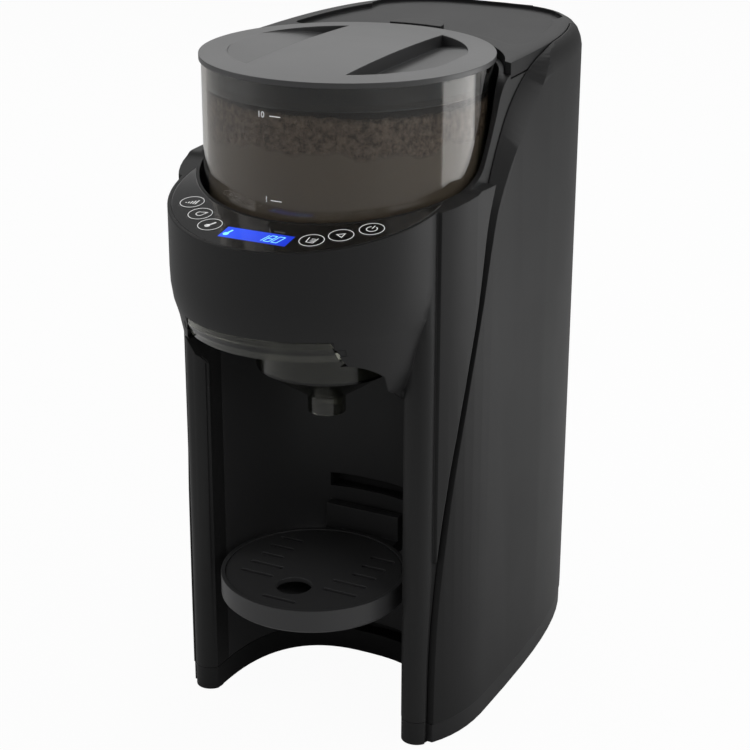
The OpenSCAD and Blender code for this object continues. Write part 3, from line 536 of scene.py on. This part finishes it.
funnel_skin = merged_copy("funnel_skin", "funnel")
edit(funnel_skin, lambda: bpy.ops.mesh.bisect(plane_co=(0, 0, LIP_RING_Z), plane_no=(0, 0, 1)))
for vertex in funnel_skin.data.vertices:
    reach, z_mm = around_head(vertex.co)
    if reach > LIP_REACH and z_mm > LIP_BOTTOM and vertex.co.y < AXIS_Y:
        pull_in(vertex, reach, at_height(LIP_PULL, z_mm))
pick_only([funnel_skin])
bpy.ops.object.shade_smooth_by_angle(angle=math.radians(LIP_ANGLE))
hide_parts("funnel")
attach(funnel_skin, "drawer")
print("funnel skin with", len(funnel_skin.data.polygons), "faces")

# %% [markdown]
# ## Metal
#
# The coupling key, hinge pin, valve, screws, nozzle, heater and motor case are turned or
# drawn metal. A finer grain and a wider spread in its roughness tell it from plastic.

# %% Metal
METAL_GRAIN_SIZE = 2600
METAL_SPREAD = 0.15
METAL_GRAIN_STRENGTH = 0.2
METAL_GRAIN_DEPTH = 0.01


def metal(name, color, roughness):
    """Bare metal with a fine grain."""
    material = bpy.data.materials.new(name)
    material.use_nodes = True
    tree = material.node_tree
    shader = tree.nodes["Principled BSDF"]
    shader.inputs["Metallic"].default_value = 1.0
    shader.inputs["Base Color"].default_value = (*color, 1)
    surface = place_group(tree, grain)
    surface.inputs["Grain Size"].default_value = METAL_GRAIN_SIZE
    surface.inputs["Roughness"].default_value = roughness
    surface.inputs["Roughness Spread"].default_value = METAL_SPREAD
    bump = tree.nodes.new("ShaderNodeBump")
    bump.inputs["Strength"].default_value = METAL_GRAIN_STRENGTH
    bump.inputs["Distance"].default_value = METAL_GRAIN_DEPTH * MM
    tree.links.new(surface.outputs["Height"], bump.inputs["Height"])
    tree.links.new(bump.outputs["Normal"], shader.inputs["Normal"])
    tree.links.new(surface.outputs["Roughness"], shader.inputs["Roughness"])
    return material


steel = metal("steel", (0.55, 0.55, 0.56), 0.28)
for node_name in (
    "water_nozzle", "water_heater", "base_screws", "drive_coupling", "tank_hinge_pin", "tank_valve",
    "drive_motor",
):
    wear(node_name, steel)
print("metal", steel.name)

# %% [markdown]
# ## Clear plastics
#
# The container is grey smoked plastic, the lid's seal is a bluish ring below the lid, and
# the funnel and its cover are a darker olive smoke. All four are closed solids with real
# walls, so a plain transmission shader bends the light as the real walls do.

# %% Clear plastics
CLEAR_IOR = 1.46
CLEAR_GRAIN_SIZE = 300
CLEAR_PATCH_SIZE = 14
FUNNEL_SMOKE, FUNNEL_ROUGHNESS = (0.5, 0.505, 0.43), 0.16


def clear_plastic(name, color, roughness, spread=0.03):
    """See-through moulded plastic; a higher roughness makes it hazier."""
    material = bpy.data.materials.new(name)
    material.use_nodes = True
    tree = material.node_tree
    shader = tree.nodes["Principled BSDF"]
    shader.inputs["Transmission Weight"].default_value = 1.0
    shader.inputs["IOR"].default_value = CLEAR_IOR
    surface = place_group(tree, grain)
    surface.inputs["Grain Size"].default_value = CLEAR_GRAIN_SIZE
    surface.inputs["Patch Size"].default_value = CLEAR_PATCH_SIZE
    surface.inputs["Roughness"].default_value = roughness
    surface.inputs["Roughness Spread"].default_value = spread
    shader.inputs["Base Color"].default_value = (*color, 1)
    tree.links.new(surface.outputs["Roughness"], shader.inputs["Roughness"])
    return material


wear("powder_container", clear_plastic("container_smoke", (0.66, 0.63, 0.59), 0.008, spread=0.008))
wear("lid_seal", clear_plastic("seal_blue", (0.26, 0.36, 0.44), 0.12))
funnel_skin.data.materials.clear()
funnel_skin.data.materials.append(clear_plastic("funnel_smoke", FUNNEL_SMOKE, FUNNEL_ROUGHNESS))
wear("funnel_cover", clear_plastic("cover_smoke", FUNNEL_SMOKE, FUNNEL_ROUGHNESS))
print("four clear pieces")

# %% [markdown]
# ## Lit display
#
# A small backlit display sits behind a window in the panel. A backlight is seldom even:
# here the blue is brightest at the left end and falls off to the right. The glow is in the
# material and follows the window's width, so the window stays one plain piece.

# %% Lit display
WINDOW_HALF = 0.0185
DISPLAY_ROUGHNESS = 0.15

display_glow = bpy.data.materials.new("display_glow")
display_glow.use_nodes = True
display_tree = display_glow.node_tree
glow = display_tree.nodes["Principled BSDF"]
glow.inputs["Roughness"].default_value = DISPLAY_ROUGHNESS
glow.inputs["Emission Strength"].default_value = 1.0
place = display_tree.nodes.new("ShaderNodeTexCoord")
split = display_tree.nodes.new("ShaderNodeSeparateXYZ")
display_tree.links.new(place.outputs["Object"], split.inputs[0])
across = display_tree.nodes.new("ShaderNodeMapRange")
across.inputs["From Min"].default_value = -WINDOW_HALF
across.inputs["From Max"].default_value = WINDOW_HALF
display_tree.links.new(split.outputs["X"], across.inputs["Value"])
ramp = display_tree.nodes.new("ShaderNodeValToRGB")
ramp.color_ramp.elements[0].color = (0.03, 0.10, 0.95, 1)
ramp.color_ramp.elements[1].color = (0.008, 0.035, 0.62, 1)
display_tree.links.new(across.outputs[0], ramp.inputs[0])
display_tree.links.new(ramp.outputs[0], glow.inputs["Emission Color"])
glow.inputs["Base Color"].default_value = (0.01, 0.02, 0.2, 1)
wear("display", display_glow)
print("display", display_glow.name)

# %% [markdown]
# ## Flat shapes for printed marks
#
# Print on plastic is a thin layer of ink. Each mark is cut out flat on the level and
# thickened a little, and only then tilted on to the deck or wrapped round the container.
# So the same few functions serve the rings, the signs, the figures and the level marks.

# %% Flat shapes
# Glow of the white print: painted light, as the ink is no lamp
PRINT_PAINTED_GLOW = 0.35


def flat_shape(sides, radius, turn=0.0, outline=0.0, at=(0.0, 0.0)):
    """A level polygon, filled or as an outline, at a point beside the origin."""
    bpy.ops.object.select_all(action="DESELECT")
    bpy.ops.mesh.primitive_circle_add(
        vertices=sides, radius=radius * MM, fill_type="NGON", rotation=(0, 0, turn))
    shape = bpy.context.object
    bpy.ops.object.transform_apply(location=False, rotation=True, scale=False)
    shape.location = (at[0] * MM, at[1] * MM, 0)
    bpy.ops.object.transform_apply(location=True, rotation=False, scale=False)
    if outline:
        edit(shape, lambda: bpy.ops.mesh.inset(thickness=outline * MM))
        bpy.ops.object.mode_set(mode="EDIT")
        bpy.ops.mesh.delete(type="FACE")
        bpy.ops.object.mode_set(mode="OBJECT")
    return shape


def bar(x0, y0, x1, y1, width):
    """A level stroke from one point to another."""
    long = math.hypot(x1 - x0, y1 - y0)
    turn = math.atan2(y1 - y0, x1 - x0)
    stroke = flat_shape(4, math.sqrt(0.5), math.pi / 4)
    stroke.data.transform(
        Matrix.Translation(((x0 + x1) / 2 * MM, (y0 + y1) / 2 * MM, 0))
        @ Matrix.Rotation(turn, 4, "Z") @ Matrix.Diagonal((long, width, 1, 1))
    )
    return stroke


def thicken(parts, name, thickness, material):
    """Joins flat parts into one named piece and gives it a thickness upwards."""
    pick_only(parts)
    if len(parts) > 1:
        bpy.ops.object.join()
    piece = bpy.context.object
    piece.name = name
    solid = piece.modifiers.new("solid", "SOLIDIFY")
    solid.thickness = thickness * MM
    solid.offset = 1
    bpy.ops.object.modifier_apply(modifier=solid.name)
    piece.data.materials.append(material)
    return piece


def on_deck(piece, x_mm, y_mm, body, lift_mm):
    """Moves a level piece on to the sloping deck."""
    piece.data.transform(deck_matrix(x_mm, y_mm, lift_mm * MM))
    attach(piece, body)


white_print = moulded("white_print", (0.9, 0.9, 0.9), 0.5, grain_depth=0.003)
print_shader = white_print.node_tree.nodes["Principled BSDF"]
# The print's emission is a painted glow
print_shader.inputs["Emission Color"].default_value = (1, 1, 1, 1)
print_shader.inputs["Emission Strength"].default_value = PRINT_PAINTED_GLOW
print("print colour", white_print.name)

# %% [markdown]
# ## Rings and signs on the buttons
#
# Each button has a thin white ring and a sign in it: rising bars for the powder's
# strength, a drop for water, a thermometer for heat, a cup with marks for the volume, a
# triangle for start and a broken ring for power. They are printed, and here they glow a
# little, a painted glow that brightens the print. Ring and sign ride on their button, so
# that they go down with it.

# %% Signs on the buttons
RING_RADIUS = 6.25
LINE = 0.42
RING_HEIGHT, SIGN_HEIGHT = 0.1, 0.08
PRINT_LIFT = 0.24
SIGN_SCALE = 1.25
SIGN_FORWARD = 0.25
DROP_RADIUS = 1.9
POWER_GAP = 1.0


def bars_sign():
    """Five strokes, each longer than the one before."""
    return [bar(-2.1 + 1.05 * k, -1.5, -2.1 + 1.05 * k, -0.9 + 0.75 * k, 0.55) for k in range(5)]


def drop_sign():
    """A ring whose upper half is drawn to a point, leaning to one side."""
    drop = flat_shape(32, DROP_RADIUS, math.pi / 2, outline=0.45)
    for vertex in drop.data.vertices:
        if vertex.co.y > 0:
            vertex.co.x *= 1.0 - 0.55 * vertex.co.y / (DROP_RADIUS * MM)
            vertex.co.y *= 1.0 + 0.7 * (vertex.co.y / (DROP_RADIUS * MM)) ** 2
    drop.data.transform(Matrix.Rotation(-0.9, 4, "Z"))
    return [drop]


def heat_sign():
    """A slanted thermometer: a bulb, a tube and its round end."""
    bulb = flat_shape(24, 1.15, at=(-0.6, -1.1))
    return [bulb, bar(-0.5, -1.0, 1.2, 1.9, 0.9), flat_shape(16, 0.5, at=(1.2, 2.0))]


def cup_sign():
    """An open cup with three marks in it."""
    cup = [bar(-1.9, 2.0, -1.5, -1.9, 0.4), bar(-1.6, -1.9, 1.6, -1.9, 0.4), bar(1.5, -1.9, 1.9, 2.0, 0.4)]
    marks = [bar(-0.4, y, 1.4, y, 0.32) for y in (-0.8, 0.2, 1.2)]
    return cup + marks


def start_sign():
    """The outline of a triangle."""
    return [flat_shape(3, 2.3, math.pi / 2, outline=LINE)]


def power_sign():
    """A ring that is open at the top, with a stroke in the gap."""
    arc = flat_shape(48, 2.3, outline=LINE)
    bpy.ops.object.mode_set(mode="EDIT")
    bpy.ops.mesh.select_mode(type="FACE")
    bpy.ops.object.mode_set(mode="OBJECT")
    for face in arc.data.polygons:
        face.select = face.center.y > 0 and abs(face.center.x) < POWER_GAP * MM
    bpy.ops.object.mode_set(mode="EDIT")
    bpy.ops.mesh.delete(type="FACE")
    bpy.ops.object.mode_set(mode="OBJECT")
    return [arc, bar(0, 0.3, 0, 2.8, LINE)]


signs = dict(zip(BUTTONS, (bars_sign, drop_sign, heat_sign, cup_sign, start_sign, power_sign)))
for key, draw in signs.items():
    low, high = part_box("button_" + key)
    x_mm = (low.x + high.x) / 2 / MM
    y_mm = ((low.y + high.y) / 2 - AXIS_Y) / MM - SIGN_FORWARD
    ring = thicken([flat_shape(64, RING_RADIUS, outline=LINE)], "ring_" + key, RING_HEIGHT, white_print)
    on_deck(ring, x_mm, y_mm, "key_" + key, PRINT_LIFT)
    sign = thicken(draw(), "sign_" + key, SIGN_HEIGHT, white_print)
    sign.data.transform(Matrix.Diagonal((SIGN_SCALE, SIGN_SCALE, 1, 1)))
    on_deck(sign, x_mm, y_mm, "key_" + key, PRINT_LIFT)
print(len(signs), "buttons marked")

# %% [markdown]
# ## Figures in the display
#
# The window shows a thermometer on the left and a number in slanted strokes on the right.
# A display of this kind makes every figure from the same seven strokes, so one short list
# of strokes serves them all.

# %% Display figures
figure_light = bpy.data.materials.new("figure_light")
figure_light.use_nodes = True
figure_tree = figure_light.node_tree
lit = figure_tree.nodes["Principled BSDF"]
lit.inputs["Base Color"].default_value = (0.1, 0.5, 0.6, 1)
lit.inputs["Emission Strength"].default_value = 1.0
figure_noise = figure_tree.nodes.new("ShaderNodeTexNoise")
figure_noise.inputs["Scale"].default_value = 900
figure_ramp = figure_tree.nodes.new("ShaderNodeValToRGB")
figure_ramp.color_ramp.elements[0].color = (0.22, 0.72, 0.95, 1)
figure_ramp.color_ramp.elements[1].color = (0.35, 0.85, 1.0, 1)
figure_place = figure_tree.nodes.new("ShaderNodeTexCoord")
figure_tree.links.new(figure_place.outputs["Object"], figure_noise.inputs["Vector"])
figure_tree.links.new(figure_noise.outputs["Fac"], figure_ramp.inputs[0])
figure_tree.links.new(figure_ramp.outputs[0], lit.inputs["Emission Color"])

# Strokes of a figure, in a box one wide and two high, and the strokes that each figure lights
STROKES = [(0, 2, 1, 2), (1, 2, 1, 1), (1, 1, 1, 0), (0, 0, 1, 0), (0, 0, 0, 1), (0, 1, 0, 2), (0, 1, 1, 1)]
LIT = {"1": (1, 2), "8": (0, 1, 2, 3, 4, 5, 6), "0": (0, 1, 2, 3, 4, 5)}
FIGURE_STEP, FIGURE_WIDTH, HALF_HEIGHT, STROKE = 4.3, 2.9, 3.1, 0.5
SLANT = 0.28
FIGURE_HEIGHT, FIGURE_LIFT = 0.03, -0.08
NUMBER_AT, THERMOMETER_AT = (1.2, -97.3), (-15.4, -94.4)

strokes = []
for place_index, figure in enumerate("180"):
    left = place_index * FIGURE_STEP
    for k in LIT[figure]:
        x0, y0, x1, y1 = STROKES[k]
        start = (left + x0 * FIGURE_WIDTH, y0 * HALF_HEIGHT)
        end = (left + x1 * FIGURE_WIDTH, y1 * HALF_HEIGHT)
        strokes.append(bar(*start, *end, STROKE))
number = thicken(strokes, "display_number", FIGURE_HEIGHT, figure_light)
number.data.transform(Matrix(((1, SLANT, 0, 0), (0, 1, 0, 0), (0, 0, 1, 0), (0, 0, 0, 1))))
on_deck(number, *NUMBER_AT, "housing", FIGURE_LIFT)
bulb = flat_shape(24, 1.5, at=(-0.4, -1.6))
tube = bar(-0.3, -1.5, 0.9, 2.2, 1.1)
tube_end = flat_shape(16, 0.6, at=(0.95, 2.3))
thermometer = thicken([bulb, tube, tube_end], "display_thermometer", FIGURE_HEIGHT, figure_light)
on_deck(thermometer, *THERMOMETER_AT, "housing", FIGURE_LIFT)
print("a number of", len(strokes), "strokes and a thermometer")

# %% [markdown]
# ## Ends of the drawer's rails
#
# The rails of the funnel drawer end in small caps beside the lip, flush with the head's
# round front. Each cap starts as a six-sided flat shape that is set to the notch it fills,
# is thickened, and is then bent on to the round front.

# %% Rail caps
CAP_OUTLINE = [(40.0, 238.5), (41.8, 238.5), (41.8, 234.1), (46.1, 234.1), (46.1, 230.9), (43.1, 230.9)]
CAP_DEPTH = 2.5
CAP_INSET = 0.1

for side, side_name in ((-1, "left"), (1, "right")):
    cap = flat_shape(6, 1.0)
    for vertex, (x_mm, z_mm) in zip(cap.data.vertices, CAP_OUTLINE):
        vertex.co = (side * x_mm * MM, z_mm * MM, 0)
    cap = thicken([cap], "rail_cap_" + side_name, CAP_DEPTH, finishes["body_satin"])
    for vertex in cap.data.vertices:
        x_mm, z_mm, depth = vertex.co.x / MM, vertex.co.y / MM, vertex.co.z / MM
        reach = at_height(CHIN_OLD, z_mm) - at_height(CHIN_PULL, z_mm) - CAP_INSET
        y_mm = HEAD_Y - math.sqrt(reach**2 - x_mm**2) + abs(depth)
        vertex.co = (x_mm * MM, AXIS_Y + y_mm * MM, z_mm * MM)
    edit(cap, lambda: bpy.ops.mesh.normals_make_consistent(inside=False))
    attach(cap, "drawer")
print("two rail caps")

# %% [markdown]
# ## Powder in the container
#
# The powder lies against the container's wall, smooth and pale below, with a crumbly crust
# above that ends in a ragged edge and looks darker for the painted shadows between its crumbs.
# The piece is a cup upside down, so that the wheel and the stirrer turn freely inside it.

# %% Powder body
WALL_GAP = 2.5
OVER_WHEEL, OVER_STIRRER = 4.0, 2.0
LEAST_TOP = 0.306
TOP_RINGS, RING_WIDTH = 9, 6.5
SIDE_LEVELS = 14

wheel_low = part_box("dispensing_wheel")[0]
stirrer_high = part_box("stirrer")[1]
powder_r = HOPPER_R - WALL_GAP * MM
powder_low = wheel_low.z + OVER_WHEEL * MM
powder_top = max(stirrer_high.z + OVER_STIRRER * MM, LEAST_TOP)
bpy.ops.object.select_all(action="DESELECT")
bpy.ops.mesh.primitive_circle_add(
    vertices=180, radius=powder_r, fill_type="NGON", location=(0, AXIS_Y, powder_top))
powder = bpy.context.object
powder.name = "milk_powder"
bpy.ops.object.transform_apply(location=True)
bpy.ops.object.mode_set(mode="EDIT")
for _ in range(TOP_RINGS):
    bpy.ops.mesh.inset(thickness=RING_WIDTH * MM)
bpy.ops.mesh.select_all(action="DESELECT")
bpy.ops.mesh.select_mode(type="EDGE")
bpy.ops.mesh.select_non_manifold()
one_level = (0, 0, (powder_low - powder_top) / SIDE_LEVELS)
for _ in range(SIDE_LEVELS):
    bpy.ops.mesh.extrude_region_move(TRANSFORM_OT_translate={"value": one_level})
bpy.ops.mesh.select_all(action="SELECT")
bpy.ops.mesh.normals_make_consistent(inside=False)
bpy.ops.object.mode_set(mode="OBJECT")
print("powder from", round(powder_low, 4), "to", round(powder_top, 4), len(powder.data.vertices), "points")

# %% [markdown]
# ## Crust
#
# Poured powder heaps against the wall and breaks into lumps. The top is raised towards the
# wall, a little more on the left than on the right, and noise roughens it. The side's
# points follow by their share of the height, so that no ring of points overtakes another.

# %% Crust
HEAP, HEAP_LEAN, LEAN_TURN = 35, 1.5, 0.2
HEAP_FROM, HEAP_BAND, HEAP_CURVE = 0.8, 0.2, 1.6
LUMPS_PER_METRE, LUMP_HEIGHT = 170, 1.6
NOISE_ROUGHNESS, NOISE_GAP, NOISE_LAYERS = 0.8, 2.1, 4
HIGHEST_CRUST = 0.342
AT_LIMIT = 0.999
POWDER_WALL = 1.6

for vertex in powder.data.vertices:
    x, y = vertex.co.x, vertex.co.y - AXIS_Y
    out = math.hypot(x, y) / powder_r
    angle = math.atan2(x, -y)
    height = (vertex.co.z - powder_low) / (powder_top - powder_low)
    lean = HEAP - HEAP_LEAN * math.sin(angle + LEAN_TURN)
    heap = lean * MM * max(0, (out - HEAP_FROM) / HEAP_BAND) ** HEAP_CURVE
    spot = Vector((x, y, 0.3)) * LUMPS_PER_METRE
    lumps = noise.fractal(spot, NOISE_ROUGHNESS, NOISE_GAP, NOISE_LAYERS) * LUMP_HEIGHT * MM
    if height > AT_LIMIT:
        vertex.co.z = min(vertex.co.z + heap + lumps, HIGHEST_CRUST)
    elif out > AT_LIMIT:
        vertex.co.z += (heap + lumps) * height
skin = powder.modifiers.new("skin", "SOLIDIFY")
skin.thickness = POWDER_WALL * MM
skin.offset = -1
pick_only([powder])
bpy.ops.object.modifier_apply(modifier=skin.name)
bpy.ops.object.shade_smooth()
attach(powder, "container")
print(powder.name, len(powder.data.polygons), "faces")

# %% [markdown]
# ## Powder material
#
# Fine milk powder is matt and pale where it is packed against the wall. Above that lies the
# crust, whose crumbs are told apart by painted shadows: there a noise sets both the colour,
# dark between the crumbs as painted shade, and the bump. A second, larger noise bends the
# line between the two.

# %% Powder material
CRUST_FROM, CRUST_TO = 0.3205, 0.3225
EDGE_WOBBLE = 0.02
CRUMB_DEPTH = 1.2

powder_paint = bpy.data.materials.new("powder_grains")
powder_paint.use_nodes = True
powder_tree = powder_paint.node_tree
powder_shader = powder_tree.nodes["Principled BSDF"]
powder_shader.inputs["Roughness"].default_value = 0.95
powder_shader.inputs["Specular IOR Level"].default_value = 0.1
powder_place = powder_tree.nodes.new("ShaderNodeTexCoord")
powder_split = powder_tree.nodes.new("ShaderNodeSeparateXYZ")
clumps = powder_tree.nodes.new("ShaderNodeTexNoise")
clumps.inputs["Scale"].default_value = 340
clumps.inputs["Detail"].default_value = 8
clumps.inputs["Roughness"].default_value = 0.72
waves = powder_tree.nodes.new("ShaderNodeTexNoise")
waves.inputs["Scale"].default_value = 45
waves.inputs["Detail"].default_value = 5
for node in (clumps, waves):
    powder_tree.links.new(powder_place.outputs["Object"], node.inputs["Vector"])
powder_tree.links.new(powder_place.outputs["Object"], powder_split.inputs[0])
about_zero = math_node(powder_tree, "SUBTRACT", waves.outputs["Fac"], 0.5)
wobble = math_node(powder_tree, "MULTIPLY", about_zero, EDGE_WOBBLE)
level = math_node(powder_tree, "ADD", powder_split.outputs["Z"], wobble)
above = powder_tree.nodes.new("ShaderNodeMapRange")
above.inputs["From Min"].default_value = CRUST_FROM
above.inputs["From Max"].default_value = CRUST_TO
powder_tree.links.new(level, above.inputs["Value"])
crumb = powder_tree.nodes.new("ShaderNodeValToRGB")
crumb.color_ramp.elements[0].position = 0.35
# The dark end is painted shadow between the crumbs, the light end the crumbs' own colour
crumb.color_ramp.elements[0].color = (0.045, 0.034, 0.026, 1)
crumb.color_ramp.elements[1].position = 0.66
crumb.color_ramp.elements[1].color = (0.33, 0.27, 0.22, 1)
powder_tree.links.new(clumps.outputs["Fac"], crumb.inputs[0])
packed = powder_tree.nodes.new("ShaderNodeMix")
packed.data_type = "RGBA"
packed.inputs[6].default_value = (0.2, 0.178, 0.15, 1)
powder_tree.links.new(above.outputs[0], packed.inputs["Factor"])
powder_tree.links.new(crumb.outputs[0], packed.inputs[7])
powder_tree.links.new(packed.outputs[2], powder_shader.inputs["Base Color"])
powder_bump = powder_tree.nodes.new("ShaderNodeBump")
powder_bump.inputs["Distance"].default_value = CRUMB_DEPTH * MM
crumb_height = math_node(powder_tree, "MULTIPLY", clumps.outputs["Fac"], above.outputs[0])
powder_tree.links.new(crumb_height, powder_bump.inputs["Height"])
powder_tree.links.new(powder_bump.outputs["Normal"], powder_shader.inputs["Normal"])
powder.data.materials.append(powder_paint)
print("powder wears", powder_paint.name)

# %% [markdown]
# ## Marks on the container
#
# Two white level marks, each a dash beside a plain number, as a printer would put on the
# finished container. They are drawn flat and then wrapped round the wall, a hair outside it.

# %% Level marks
MARK_GAP = 0.03
MARK_HEIGHT = 0.04
NUMBER_SIZE, NUMBER_BOLD = 4.2, 0.05
DASH_STEP, DASH_PIECE, DASH_UP, DASH_WIDTH = 1.2, 1.3, 1.1, 0.45


def on_container(piece, x_mm, z_mm):
    """Wraps a level piece round the front of the container, its left end at x."""
    for vertex in piece.data.vertices:
        angle = (x_mm * MM + vertex.co.x) / HOPPER_R
        reach = HOPPER_R + MARK_GAP * MM + vertex.co.z
        vertex.co = (reach * math.sin(angle), AXIS_Y - reach * math.cos(angle), z_mm * MM + vertex.co.y)
    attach(piece, "container")


def number_shape(text, size_mm):
    """A plain number as a flat mesh, its left end at the origin."""
    bpy.ops.object.select_all(action="DESELECT")
    bpy.ops.object.text_add()
    words = bpy.context.object
    words.data.body = text
    words.data.size = size_mm * MM
    words.data.offset = NUMBER_BOLD * MM
    bpy.ops.object.convert(target="MESH")
    return bpy.context.object


for name, text, x_mm, z_mm, dash_left in (
    ("mark_high", "10", -10.5, 338.4, 7.0), ("mark_low", "1", -7.0, 296.8, 3.5),
):
    dash = [
        bar(dash_left + DASH_STEP * k, DASH_UP, dash_left + DASH_STEP * k + DASH_PIECE, DASH_UP, DASH_WIDTH)
        for k in range(5)
    ]
    # The marks wear the same white print, with its painted glow
    mark = thicken([number_shape(text, NUMBER_SIZE)] + dash, name, MARK_HEIGHT, white_print)
    on_container(mark, x_mm, z_mm)
print("two level marks")
